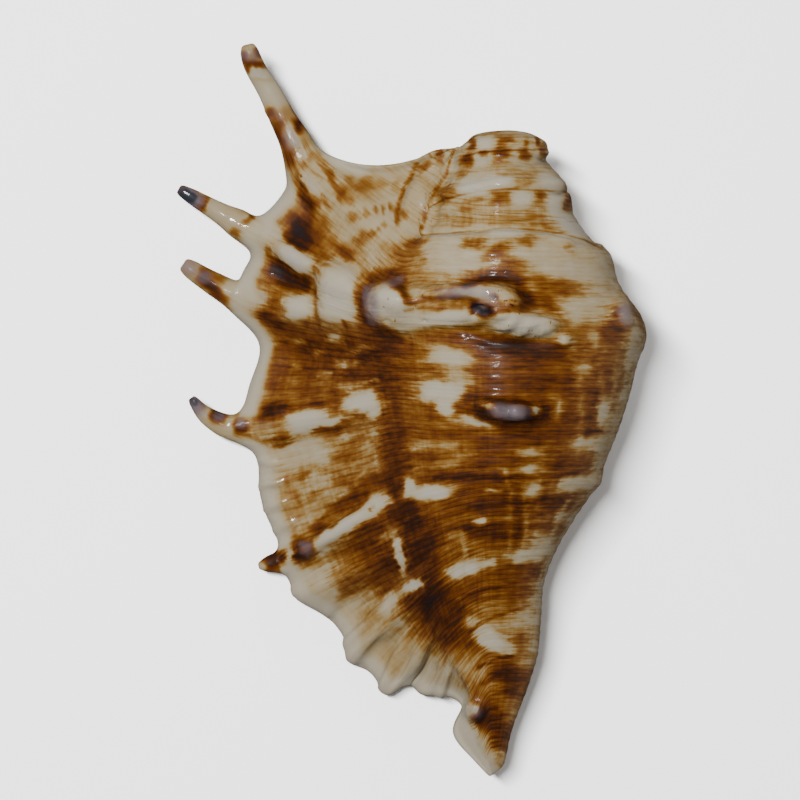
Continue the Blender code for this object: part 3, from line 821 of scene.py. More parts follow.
# %% Folds and warts
# x, y, half length, half width, turn and rise in mm.
FOLDS = {
    "left lobe": (392, 305, 27, 23, -15, 0.7),
    "left summit": (392, 297, 16, 11, -25, 0.8),
    "bridge groove": (450, 301, 27, 4, 2, -0.9),
    "white fold of the bridge": (448, 319, 36, 9, 4, 1.5),
    "upper fold of the bridge": (462, 291, 28, 6, 2, 1.2),
    "right lobe": (498, 300, 22, 15, -14, 0.7),
    "right summit": (500, 294, 13, 6, -15, 0.5),
    "dark hollow": (480, 310, 8, 5, 5, -1.7),
    "wart right of the hollow": (512, 305, 6, 4, 0, 0.7),
    "wart below it": (502, 313, 5, 3, 20, 0.6),
    "tail": (525, 325, 34, 12, -8, 1.1),
    "tail fold 1": (504, 324, 12, 4, 35, 0.8),
    "tail groove 1": (514, 330, 12, 2.8, 35, -0.8),
    "tail fold 2": (522, 326, 12, 4, 35, 0.7),
    "tail groove 2": (531, 333, 11, 2.8, 40, -0.7),
    "tail groove 3": (496, 331, 12, 2.8, 30, -0.6),
    "tail fold 3": (546, 326, 13, 6, -5, 0.8),
    "dent in the left lobe": (408, 291, 8, 5, -40, -0.8),
    "pit 1": (387, 320, 2.2, 2.2, 0, -0.5),
    "pit 2": (427, 318, 2.2, 2.2, 0, -0.5),
    "pit 3": (552, 325, 2.4, 2.4, 0, -0.6),
    "pit 4": (497, 296, 2.4, 2.4, 0, -0.6),
    "pit 5": (372, 306, 2.2, 2.6, 0, -0.4),
    "bump after the tail": (564, 340, 5, 6, 0, 0.9),
}
print(len(FOLDS), "folds so far")

# %% Folds: the second and the right knob
FOLDS.update({
    "second knob": (510, 411, 23, 9, -4, 1.6),
    "dent in the second knob": (507, 413, 2.6, 6, 0, -0.8),
    "horn of the second knob": (486, 405, 11, 5, -16, 1.0),
    "second knob's left lump": (496, 411, 6, 7, 0, 0.5),
    "second knob's right lump": (519, 412, 8, 6, 0, 0.5),
    "dent on the second knob's top": (511, 404, 5, 3, 0, -0.5),
    "second knob's end": (533, 412, 5, 6, 0, 0.6),
    "right knob": (623, 312, 10, 16, 18, 0.9),
})
print(len(FOLDS), "folds so far")

# %% [markdown]
# The lip carries blocks and warts where the fingers' ribs begin, and its lower edge is fluted, as
# it grew in folds towards the canal.

# %% Folds: the blocks and the fingers' warts
FOLDS.update({
    "pillow": (337, 296, 19, 28, 0, 1.7),
    "lilac block": (294, 259, 20, 9, -40, 1.1),
    "square block": (298, 307, 14, 14, 0, 0.9),
    "between the blocks": (290, 281, 18, 9, -40, -0.7),
    "fourth finger's wart": (277, 411, 12, 6, 10, 0.8),
    "fourth finger's lower wart": (283, 439, 10, 6, 20, 0.7),
    "fourth finger's band": (241, 423, 8, 7, 0, 0.5),
    "fourth block": (362, 403, 18, 9, 16, 0.4),
    "fifth finger's ridge": (345, 525, 42, 6, 33, 1.2),
    "fifth finger's band": (304, 550, 10, 9, 35, 0.8),
    "posterior finger's bump": (267, 112, 4, 5, 0, 0.3),
    "posterior finger's rib": (312, 192, 7, 30, 26, 0.7),
})
print(len(FOLDS), "folds so far")

# %% Folds: the lip's lower edge and its margin
FOLDS.update({
    "flute 1": (366, 625, 32, 5, 45, 1.4),
    "flute 2": (392, 667, 28, 4.5, 65, 1.2),
    "flute 3": (416, 668, 20, 4.5, 60, 1.0),
    "flute 4": (445, 683, 16, 4, 70, 0.9),
    "hollow 1": (372, 655, 22, 6, 50, -1.0),
    "hollow 2": (402, 668, 18, 4, 65, -0.9),
    "hollow 3": (430, 678, 14, 4, 65, -0.9),
    "hollow 0": (335, 618, 20, 5, 50, -0.8),
    "margin ripple 1": (268, 462, 10, 4.5, -14, 0.5),
    "margin ripple 2": (271, 482, 10, 4.5, -8, 0.5),
    "margin ripple 3": (276, 502, 10, 4.5, 0, 0.5),
    "margin ripple 4": (284, 521, 10, 4.5, 10, 0.5),
    "margin ripple 5": (292, 592, 9, 5, 40, 0.4),
    "margin wave 1": (270, 484, 16, 3.5, 15, 0.5),
    "margin wave 2": (276, 506, 16, 3.5, 18, 0.5),
    "margin wave 3": (283, 528, 16, 4, 22, 0.5),
    "margin wave 4": (292, 545, 12, 3.5, 28, 0.4),
    "canal's wart": (473, 711, 8, 9, 0, 0.9),
})
print(len(FOLDS), "folds so far")

# %% Creases
# A path of places, half width and rise in mm.
CREASES = {
    "foot of the left lobe": ([(366, 318), (374, 330), (388, 338), (408, 341)], 6, -0.7),
    "foot of the tail": ([(470, 334), (490, 343), (515, 347), (540, 341), (560, 331)], 6, -0.7),
    "over the left lobe": ([(361, 312), (362, 292), (373, 279), (390, 275), (408, 281)], 5, -0.6),
    "over the right lobe": ([(465, 282), (485, 277), (502, 276), (518, 283), (526, 296)], 5, -0.6),
    "below the second knob": ([(490, 418), (504, 424), (520, 424), (534, 418)], 5, -0.4),
    "body seam": ([(420, 234), (466, 231), (493, 228), (542, 230), (573, 238), (596, 243)], 2.4, -1.0),
    "rim under the body seam": ([(425, 240), (466, 237), (493, 234), (542, 236), (570, 244)], 4, 0.8),
    "penultimate seam": ([(435, 203), (481, 193), (510, 190), (564, 192)], 2.4, -1.0),
    "rim over the penultimate seam": ([(440, 196), (481, 186), (510, 183), (560, 185)], 4.5, 0.9),
    "top seam": ([(456, 168), (480, 163), (515, 161), (548, 160)], 3, -0.7),
    "rim over the top seam": ([(460, 158), (480, 155), (515, 153), (545, 153)], 4, 0.6),
    "lip against the spire": ([(421, 232), (425, 212), (435, 193), (445, 177)], 3, -0.5),
    "line on the lobe": ([(418, 163), (405, 186), (399, 202), (397, 222)], 3, -0.35),
    "growth scar": ([(314, 272), (315, 300), (317, 320), (322, 345)], 3, -0.3),
}
print(len(CREASES), "creases")

# %% [markdown]
# The lip lies against the spire in a tight furrow, and the fingers have rounded ends. Subdivision
# leaves both a little uneven, so their points are evened out before the folds go on. Only the
# chosen points move, which a modifier over the whole shell couldn't do.

# %% Evening out the furrow and the finger ends
FURROW = [(453, 156), (445, 177), (435, 195), (426, 212), (421, 232)]
FURROW_HALF_WIDTH = 9
FURROW_FROM = 0.4
TIP_LENGTH = 0.5
# A finger takes up the line through its middle and one and a half lines to each side of it.
FINGER_HALF_WIDTH = 1.5
EVENING_ROUNDS = 12


def from_middle(first):
    """How many lines of the cage each point is from the middle of the finger that starts there."""
    return row - (first + 1 + len(SPIRE_RINGS))


in_furrow = stroke(seen_places(), FURROW, FURROW_HALF_WIDTH) > FURROW_FROM
in_furrow &= normals_of(shell_mesh)[:, 2] > 0
at_tips = np.zeros(len(row), bool)
for first, _, centre_line in FINGERS.values():
    on_this = np.abs(from_middle(first)) < FINGER_HALF_WIDTH
    at_tips |= on_this & (reach > len(centre_line) - TIP_LENGTH)
bm = bmesh.new()
bm.from_mesh(shell_mesh)
bm.verts.ensure_lookup_table()
chosen = [bm.verts[k] for k in np.flatnonzero(in_furrow | at_tips)]
for _ in range(EVENING_ROUNDS):
    bmesh.ops.smooth_vert(
        bm, verts=chosen, factor=0.5, use_axis_x=True, use_axis_y=True, use_axis_z=True,
    )
bm.to_mesh(shell_mesh)
bm.free()
print("evened out:", len(chosen), "points")

# %% Raising the folds
FOLD_BLUNTNESS = 1.6
# The folds are on the back alone: they fade where the surface turns down.
FACING_UP = (-0.05, 0.3)
points, normals = points_of(shell_mesh), normals_of(shell_mesh)
places = seen_places()
upward = smooth_step(*FACING_UP, normals[:, 2])
rise = np.zeros(len(points))
for *oval, height in FOLDS.values():
    rise += height * spot(places, *oval, FOLD_BLUNTNESS)
for path, half_width, height in CREASES.values():
    rise += height * stroke(places, path, half_width)
put_points(shell_mesh, points + normals * (rise * upward)[:, None])
print("highest fold:", round(rise.max(), 1), "mm; deepest:", round(rise.min(), 1), "mm")

# %% [markdown]
# ## Cords
# Fine cords run round the shell in the way it grew. The broad ones are real relief here, a cosine
# of the cord field with some noise, and the finest, under a millimetre apart, are left to the
# finish, because the mesh is too coarse for them. They fade on the lip's smooth margin, inside the
# aperture and along the fingers, and each finger has a shallow canal underneath.

# %% Cords, swells and finger canals
CORD_SPACING = 2.1
CORD_HEIGHT = 0.07
SWELL_HEIGHT = 0.22
SWELL_LENGTH = 7.0
# A cord wanders by this share of a swell's height, so that no two run quite alike.
CORD_WANDER = 0.35
# A cord's height changes by this share, and the swells are less by this share on a finger.
CORD_UNEVEN = 0.4
SMOOTH_FINGERS = 0.7
# Where the outside begins behind the lip's edge and ends at the columella, in points of a line.
OUTSIDE_WAY = (0.15, 0.8, 12.2, 14.2)
# How far out a finger's root ends, in rings.
ROOT_END = (0.3, 1.0)
# The canal under a finger: half width in lines of the cage, depth, where it begins after the root
# and ends before the tip in rings, and how far down the surface has to face.
CANAL_WIDTH = 0.34
CANAL_DEPTH = 0.9
CANAL_BEGINS, CANAL_ENDS = (0.4, 1.4), (1.2, 0.3)
FACING_DOWN = (0.2, -0.4)


def swells(points, length):
    """Smooth noise between about -1 and 1, with waves of this length in mm."""
    return np.array([noise.noise(Vector(p) / length) for p in points])


points, normals = points_of(shell_mesh), normals_of(shell_mesh)
outside = band(way, *OUTSIDE_WAY)
on_finger = smooth_step(*ROOT_END, reach)
uneven = swells(points, SWELL_LENGTH)
ripple = np.cos(2 * math.pi * (cord + CORD_WANDER * uneven) / CORD_SPACING)
rise = CORD_HEIGHT * ripple * outside * (1 - on_finger) * (1 - CORD_UNEVEN + CORD_UNEVEN * uneven)
rise += SWELL_HEIGHT * uneven * outside * (1 - SMOOTH_FINGERS * on_finger)
for first, _, centre_line in FINGERS.values():
    across = from_middle(first)
    ends = [len(centre_line) - back for back in CANAL_ENDS]
    along = band(reach, *CANAL_BEGINS, *ends)
    below = smooth_step(*FACING_DOWN, normals[:, 2])
    near = np.abs(across) < FINGER_HALF_WIDTH
    rise -= CANAL_DEPTH * np.exp(-(across / CANAL_WIDTH) ** 2) * along * below * near
moved = points + normals * rise[:, None]
moved[:, 2] = np.maximum(moved[:, 2], 0.0)
put_points(shell_mesh, moved)
print("cords:", int((cord.max() - cord.min()) / CORD_SPACING))

# %% [markdown]
# ## Where the brown lies
# A single field says how much brown there is: below 0 is clean white, 0 cream, 0.25 honey, 0.5
# amber, 0.75 chestnut and 1 nearly black. It is painted like a picture, from broad washes to small
# marks, each an oval with a tone and a cover. The finish later breaks the field up along the cords.
# A few of its marks stand for light and shade rather than brown, and are marked as such where they stand.

# %% Washes of brown
# x, y, half length, half width, turn, tone and cover.
WASHES = {
    "body": (500, 440, 150, 160, 0, 0.60, 0.95),
    "lip root, upper": (335, 360, 75, 45, 0, 0.68, 0.9),
    "lip between the fourth and fifth fingers": (318, 470, 58, 58, 0, 0.12, 0.9),
    "beside the dark stripe": (385, 545, 34, 60, -10, 0.66, 0.8),
    "lower lip": (350, 625, 62, 42, -35, 0.06, 0.95),
    "lower lip by the canal": (425, 672, 34, 22, -35, 0.04, 0.9),
    "canal": (490, 690, 30, 50, -20, 0.36, 0.9),
    "canal's pale field": (508, 635, 34, 24, -30, 0.18, 0.8),
    "canal's pale left": (470, 668, 16, 22, -35, 0.16, 0.8),
    "ramp": (500, 258, 105, 27, -3, -0.06, 0.95),
    "ramp, right": (590, 285, 42, 42, -40, 0.04, 0.9),
    "spire": (510, 172, 75, 48, 0, 0.04, 1.0),
    "lip by the spire": (375, 205, 62, 55, 0, 0.05, 0.98),
    "right side, dull": (615, 390, 20, 80, 12, 0.42, 0.7),
    "right side, low": (553, 515, 32, 66, 28, 0.26, 0.8),
    "body's brown middle": (535, 372, 60, 24, 0, 0.74, 0.8),
    "body below the second knob": (520, 500, 60, 50, 0, 0.66, 0.6),
    "left of the stripe, low": (352, 440, 30, 40, 0, 0.30, 0.7),
    "first finger": (276, 108, 78, 20, 113, 0.03, 0.98),
    "second finger": (218, 212, 46, 15, -31, 0.03, 0.98),
    "third finger": (218, 286, 44, 17, -33, 0.06, 0.98),
    "fourth finger": (218, 420, 46, 18, -25, 0.05, 0.98),
}
print(len(WASHES), "washes")

# %% [markdown]
# The dark marks come next, region by region. A brown stripe runs down the body beside the lip,
# and dark rings lie in the creases round the front knobs. Under the tail lies a painted shadow.

# %% Brown marks: the stripe and the front knobs
# x, y, half length, half width, turn, tone and cover.
BROWN = {
    "stripe 1": (383, 350, 15, 30, 4, 0.80, 0.9),
    "stripe 2": (388, 400, 14, 34, 4, 0.76, 0.9),
    "stripe 3": (394, 455, 14, 36, 6, 0.84, 0.95),
    "stripe 4": (405, 505, 13, 30, 12, 0.95, 0.95),
    "stripe 5": (421, 545, 17, 30, 10, 0.97, 0.95),
    "stripe 6": (430, 600, 26, 28, 20, 0.97, 1.0),
    "stripe 7": (450, 622, 22, 22, 40, 0.95, 0.95),
    "stripe 8": (467, 645, 12, 18, 35, 0.80, 0.8),
    "left of the stripe at the knob": (350, 345, 30, 14, 8, 0.78, 0.8),
    "arc over the left lobe": (386, 274, 22, 6, 8, 0.86, 0.9),
    "arc left of the left lobe": (364, 296, 4, 18, 8, 0.78, 0.9),
    "under the left lobe": (381, 334, 14, 8, -25, 0.85, 0.8),
    "arc over the right lobe": (497, 276, 30, 7, 0, 0.84, 0.9),
    "arc right of the right lobe": (525, 298, 8, 14, 20, 0.92, 0.9),
    "ring round the tail": (552, 306, 16, 7, -48, 0.68, 0.9),
    # These two are painted shadow: the dark beneath the tail is the shade that the tail casts.
    "shadow under the tail": (503, 346, 34, 11, -2, 1.02, 0.95),
    "shadow under the tail, right": (543, 356, 26, 9, -4, 0.86, 0.8),
    "under the bridge": (452, 338, 34, 6, 4, 0.55, 0.7),
    "left of the tail's bump": (548, 343, 8, 8, 0, 0.8, 0.7),
}
print(len(BROWN), "brown marks so far")

# %% Brown marks: the ramp, the right knob and the second knob
BROWN.update({
    "ramp 1": (407, 255, 15, 14, 20, 0.52, 0.85),
    "ramp 2": (473, 243, 13, 6, 0, 0.60, 0.9),
    "ramp 3": (499, 252, 15, 9, 35, 0.64, 0.85),
    "ramp 4": (526, 238, 11, 8, -10, 0.52, 0.85),
    "ramp 5": (506, 262, 22, 6, -5, 0.60, 0.8),
    "ramp 6": (560, 288, 24, 9, -12, 0.60, 0.85),
    "ramp 7": (417, 242, 11, 4, 5, 0.60, 0.8),
    "ramp 8": (568, 245, 5, 7, 0, 0.34, 0.7),
    "by the right knob": (612, 326, 17, 8, 10, 0.76, 0.9),
    "left of the right knob": (594, 322, 10, 9, 0, 0.50, 0.8),
    "below the right knob": (612, 341, 10, 8, 0, 0.62, 0.8),
    "round the second knob": (508, 411, 42, 13, -3, 0.96, 0.95),
    "round the second knob, left": (470, 406, 16, 9, 25, 0.80, 0.8),
    "right of the second knob": (580, 414, 30, 13, 0, 0.72, 0.7),
    "under the second knob": (540, 432, 56, 8, 2, 0.78, 0.8),
})
print(len(BROWN), "brown marks so far")

# %% Brown marks: the body and the canal
BROWN.update({
    "body band 1": (500, 478, 66, 5, -2, 0.88, 0.8),
    "body band 2": (520, 505, 60, 8, 2, 0.84, 0.8),
    "body band 3": (505, 530, 50, 8, 4, 0.82, 0.8),
    "body band 4": (510, 462, 30, 5, 0, 0.74, 0.6),
    "body low": (512, 587, 26, 17, 10, 0.62, 0.8),
    "body low, left": (474, 592, 10, 14, 0, 0.60, 0.7),
    "canal's dark fold": (510, 678, 20, 14, -50, 0.90, 0.9),
    "canal's middle": (487, 697, 22, 14, -52, 0.43, 0.85),
    "canal's low brown": (496, 724, 28, 12, -62, 0.84, 0.85),
    "canal's spot": (476, 717, 13, 12, -30, 1.08, 1.0),
    "canal's upper right": (514, 645, 18, 12, 20, 0.50, 0.7),
})
print(len(BROWN), "brown marks so far")

# %% [markdown]
# On the lip the brown breaks into patches between the roots of the fingers, and fades to short
# dashes on the web beside the spire.

# %% Brown marks: the lip's upper half
BROWN.update({
    "lip brown 1": (268, 318, 24, 8, -26, 0.86, 0.9),
    "lip brown 2": (300, 345, 26, 16, -20, 0.74, 0.8),
    "lip brown 3": (285, 372, 22, 20, 0, 0.72, 0.8),
    "lip amber": (312, 386, 26, 8, 0, 0.46, 0.8),
    "patch by the posterior finger": (299, 230, 11, 16, -10, 1.02, 1.0),
    "patch's right half": (309, 239, 11, 9, 0, 0.94, 1.0),
    "patch's left corner": (289, 241, 7, 6, 0, 0.92, 0.9),
    "patch's foot": (300, 246, 10, 6, -20, 1.0, 0.9),
    "patch's head": (309, 221, 6, 10, 10, 0.86, 0.9),
    "amber right of the patch": (320, 230, 8, 13, 0, 0.56, 0.8),
    "amber right of the patch, low": (331, 241, 7, 8, 0, 0.48, 0.8),
})
print(len(BROWN), "brown marks so far")

# %% Brown marks: the web beside the spire
BROWN.update({
    "web wash": (364, 191, 24, 12, 0, 0.26, 0.7),
    "web 1": (361, 187, 16, 5, 4, 0.46, 0.85),
    "web 1, left": (349, 180, 5, 6, 20, 0.36, 0.8),
    "web 1, top": (366, 181, 6, 6, -10, 0.40, 0.8),
    "web 1, right": (382, 183, 7, 4, -10, 0.30, 0.75),
    "web 2": (348, 200, 6, 5, 0, 0.42, 0.8),
    "web 3": (353, 216, 6, 5, 10, 0.44, 0.85),
    "web 4": (366, 213, 2.5, 5, 10, 0.46, 0.85),
    "web 5": (375, 211, 2.5, 5, 10, 0.46, 0.85),
    "web 6": (383, 210, 2.2, 5, 10, 0.46, 0.85),
    "web 7": (390, 207, 2.2, 5, 10, 0.50, 0.85),
    "web 8": (397, 214, 3, 9, 8, 0.56, 0.85),
    "web 9": (403, 214, 4, 5, 0, 0.40, 0.8),
    "web 10": (361, 239, 9, 7, 40, 0.48, 0.85),
    "web 3, right": (360, 215, 12, 3, 0, 0.32, 0.7),
    "web 11": (371, 233, 4, 3.5, 30, 0.46, 0.85),
    "web 12": (378, 230, 3, 3.5, 20, 0.42, 0.85),
    "web 13": (384, 226, 2.5, 3.5, 20, 0.38, 0.8),
    "web 14": (342, 251, 9, 5, -30, 0.62, 0.85),
    "web 15": (350, 256, 6, 4, -30, 0.56, 0.85),
    "web 16": (397, 186, 5, 9, -20, 0.30, 0.7),
    "lobe spot 1": (424, 167, 7, 3.5, 40, 0.66, 0.9),
    "lobe spot 2": (440, 155, 3.5, 8, 5, 0.66, 0.9),
})
print(len(BROWN), "brown marks so far")

# %% Brown marks: the first finger
BROWN.update({
    "finger 1 tan": (279, 115, 18, 9, -5, 0.40, 0.75),
    "finger 1 amber": (281, 123, 4, 4, 0, 0.46, 0.8),
    "finger 1 left spot": (270, 112, 5, 4, 0, 0.74, 0.8),
    "finger 1 right tan": (305, 143, 5, 8, 30, 0.36, 0.7),
    "finger 1 root mark": (316, 153, 6, 4, -30, 0.50, 0.85),
    "finger 1 left edge": (281, 136, 6, 18, 27, 0.82, 0.95),
    "finger 1 right spot": (298, 126, 5, 8, 30, 0.98, 1.0),
    "finger 1 right edge": (296, 112, 3, 9, 28, 0.46, 0.7),
    "finger 1 left brown": (290, 158, 6, 12, 12, 0.72, 0.9),
    "finger 1 mid spot": (310, 157, 4, 5, 20, 0.46, 0.8),
    "finger 1 mid spot 2": (303, 164, 3, 5, 20, 0.44, 0.8),
    "finger 1 right brown": (321, 158, 4, 8, 32, 0.62, 0.9),
    "finger 1 right brown, low": (329, 173, 5, 10, 30, 0.66, 0.9),
    "finger 1 root right": (340, 194, 5, 8, 25, 0.66, 0.9),
    "finger 1 root right 2": (334, 184, 3, 6, 35, 0.50, 0.9),
    "finger 1 root left": (298, 182, 5, 11, 20, 0.76, 0.9),
    "finger 1 root left 2": (303, 196, 6, 8, 20, 0.88, 0.9),
    "finger 1 root dark": (309, 205, 7, 8, 0, 0.92, 1.0),
    "finger 1 root spot": (316, 200, 3, 7, 20, 0.86, 0.9),
    "finger 1 root amber": (324, 202, 3, 9, 35, 0.50, 0.8),
})
print(len(BROWN), "brown marks so far")

# %% Brown marks: by the second finger
BROWN.update({
    "patch under it": (322, 256, 12, 7, -38, 0.80, 0.9),
    "patch towards the ramp": (343, 253, 12, 6, -30, 0.66, 0.9),
    "patch by the second finger": (279, 269, 13, 13, -35, 1.00, 1.0),
    "patch by the second finger, right": (296, 283, 18, 13, -12, 1.06, 1.0),
    "right of the lilac block": (317, 268, 4, 9, -25, 0.62, 0.85),
    "left of the lilac block": (269, 251, 4, 6, 0, 0.70, 0.8),
    "by the square block": (272, 303, 8, 12, 0, 0.76, 0.9),
    "pillow's left rim": (318, 296, 4, 12, 0, 0.56, 0.8),
    "pillow's right rim": (357, 300, 4, 20, 4, 0.62, 0.8),
})
print(len(BROWN), "brown marks so far")

# %% Brown marks: the fingers' ends
BROWN.update({
    "finger 1 end ring": (255.5, 63.5, 12, 4, -12, 0.80, 0.95),
    "finger 1 tip": (251, 57, 8, 4, 0, 0.40, 0.6),
    "finger 1 tip, right": (258, 53, 4, 5, 20, 0.72, 0.7),
    "finger 1 tip, left": (244, 58, 3, 5, 0, 0.86, 0.7),
    "finger 1 thin ring": (264, 80, 9, 1.8, -12, 0.40, 0.6),
    "finger 1 ring, left": (248, 68, 4, 5, 0, 0.86, 0.8),
    "finger 2 tip": (188, 196, 15, 9, -36, 1.30, 1.0),
    "finger 2 ring": (205, 203, 3, 8, -30, 0.80, 0.9),
    "finger 2 spot": (249, 220, 9, 3.5, 35, 0.84, 0.95),
    "finger 2 lower spot": (236, 233, 5, 3.5, -30, 0.60, 0.8),
    "finger 3 tip": (188, 267, 9, 9, 0, 0.30, 0.8),
    "finger 3 middle": (204, 277, 6, 9, -30, 0.80, 0.9),
    "finger 3 dark": (212, 287, 13, 6, -42, 1.02, 1.0),
    "finger 3 lower": (222, 297, 10, 5, -38, 0.88, 0.9),
    "finger 3 upper": (218, 278, 8, 4, -25, 0.56, 0.8),
    "finger 4 tip": (194, 402, 9, 7, -60, 1.15, 1.0),
    "finger 4 ring": (218, 416, 8, 8, -30, 0.98, 1.0),
    "finger 4 band": (241, 427, 7, 10, 0, 0.88, 0.95),
    "finger 4 lower edge": (254, 440, 15, 4, -14, 0.90, 0.95),
    "finger 4 wart": (277, 410, 15, 7, 12, 0.96, 0.95),
    "finger 4 wart, left": (259, 416, 8, 5, 20, 0.70, 0.8),
    "finger 4 lower wart": (284, 439, 12, 7, 22, 1.00, 0.95),
    "finger 5 band": (302, 551, 11, 13, 25, 1.02, 1.0),
    "finger 5 tip": (275, 560, 12, 9, 18, 1.02, 1.0),
})
print(len(BROWN), "brown marks so far")

# %% Brown marks: the lower lip
BROWN.update({
    "above the fifth ridge": (321, 524, 15, 6, 48, 0.62, 0.85),
    "above the fifth ridge, far": (352, 499, 24, 9, 35, 0.76, 0.9),
    "above the fifth ridge, by the stripe": (374, 482, 20, 8, 25, 0.76, 0.85),
    "below the fifth ridge": (368, 537, 22, 12, 40, 0.74, 0.9),
    "below the fifth ridge 2": (383, 560, 22, 14, 35, 0.76, 0.85),
    "below the fifth ridge 3": (385, 583, 12, 12, 30, 0.74, 0.9),
    "lower lip fleck 1": (348, 587, 12, 6, 48, 0.62, 0.85),
    "lower lip fleck 2": (340, 560, 12, 8, 40, 0.34, 0.7),
    "lower lip honey": (378, 612, 22, 16, 45, 0.22, 0.7),
    "hollow honey 1": (372, 648, 14, 5, 50, 0.17, 0.7),
    "hollow honey 2": (408, 650, 14, 6, 60, 0.15, 0.7),
    "ochre loop": (348, 438, 20, 10, 20, 0.46, 0.8),
    "ochre dash 1": (344, 457, 15, 6, 18, 0.42, 0.8),
    "ochre dash 2": (302, 476, 9, 4, 20, 0.42, 0.8),
    "ochre dash 3": (289, 481, 3, 7, 10, 0.36, 0.8),
    "ochre dash 4": (322, 470, 6, 4, 20, 0.42, 0.8),
    "ochre dash 5": (343, 480, 14, 6, 18, 0.50, 0.8),
    "ochre dash 6": (299, 500, 4, 8, 10, 0.42, 0.8),
    "ochre dash 7": (314, 495, 7, 5, 50, 0.44, 0.8),
    "above the fourth ridge": (318, 403, 30, 5, 8, 0.66, 0.85),
    "between the fourth blocks": (333, 412, 8, 6, 20, 0.62, 0.85),
    "below the fourth link": (333, 428, 22, 4, 16, 0.74, 0.9),
})
print(len(BROWN), "brown marks so far")

# %% Brown marks: the spire
BROWN.update({
    "spire spot 1": (472.5, 144, 5, 5.5, 0, 0.76, 0.95),
    "spire spot 2": (506.5, 140, 8, 4, 0, 0.60, 0.9),
    "spire spot 3": (502.5, 146, 5, 6, 0, 0.42, 0.8),
    "spire spot 4": (526, 144, 2.5, 6, 0, 0.50, 0.8),
    "spire spot 5": (538, 142, 2.5, 4, 0, 0.70, 0.9),
    "spire spot 6": (543, 152, 4, 7, 0, 0.50, 0.8),
    "spire spot 7": (467, 160, 8, 6.5, 20, 0.72, 0.95),
    "spire spot 8": (484, 153.5, 5, 3.5, 0, 0.66, 0.9),
    "spire spot 9": (502.5, 154.5, 10, 5.5, 8, 0.74, 0.95),
    "spire spot 10": (525, 154, 7, 5, -30, 0.74, 0.95),
    "spire band": (508, 168, 28, 6, 0, 0.24, 0.7),
    "spire line": (508, 174, 22, 2.5, 0, 0.36, 0.7),
    "spire honey left": (445, 193, 10, 7, 40, 0.46, 0.85),
    "spire honey mid": (461, 176, 5, 10, -30, 0.36, 0.7),
    "spire honey right": (525, 182, 13, 6, 8, 0.40, 0.85),
    "penultimate 1": (477, 197.5, 12, 4, 8, 0.50, 0.85),
    "penultimate 2": (501, 198, 10, 7, 0, 0.56, 0.9),
    "penultimate 3": (541, 198, 6.5, 7.5, 0, 0.62, 0.9),
    "penultimate 4": (568, 201, 4, 10, -10, 0.58, 0.85),
    "penultimate 5": (465, 210, 6, 3.5, 0, 0.50, 0.8),
    "penultimate honey 1": (463, 219, 13, 10, 20, 0.28, 0.8),
    "penultimate honey 2": (537, 215, 17, 12, 0, 0.30, 0.85),
    "penultimate honey 3": (541, 226, 20, 3.5, -3, 0.46, 0.8),
    "penultimate honey 4": (510, 227, 10, 2.5, 4, 0.46, 0.8),
})
print(len(BROWN), "brown marks so far")

# %% [markdown]
# The white marks are the places with hardly any brown. Most sit on whatever stands proud: knobs,
# ribs, blocks and the rims of the seams. Two are painted highlights instead, on the left lobe and on
# the canal's wart.

# %% White marks: the knobs
# x, y, half length, half width, turn, tone and cover.
WHITE = {
    "left lobe": (396, 306, 27, 22, -18, -0.20, 0.95),
    # Painted highlight: the brightest white on top of the left lobe stands for a glint of light.
    "left lobe's painted highlight": (388, 297, 10, 8, 0, -0.38, 0.8),
    "left lobe's foot": (402, 322, 16, 8, 0, 0.03, 0.8),
    "white fold of the bridge": (448, 318, 34, 8, 6, -0.25, 0.95),
    "upper fold of the bridge": (474, 292, 22, 6, 3, -0.20, 0.9),
    "right lobe": (498, 296, 16, 9, -14, -0.05, 0.9),
    "right lobe's end": (516, 298, 8, 4, -20, 0.05, 0.9),
    "tail": (524, 325, 34, 12, -8, -0.30, 1.0),
    "tail's bump": (564, 340, 5, 5, 0, -0.20, 0.9),
    "second knob's horn": (486, 404, 8, 4.5, -24, -0.20, 0.95),
    "second knob's end": (536, 411, 4.5, 7, 10, -0.15, 0.95),
}
print(len(WHITE), "white marks so far")

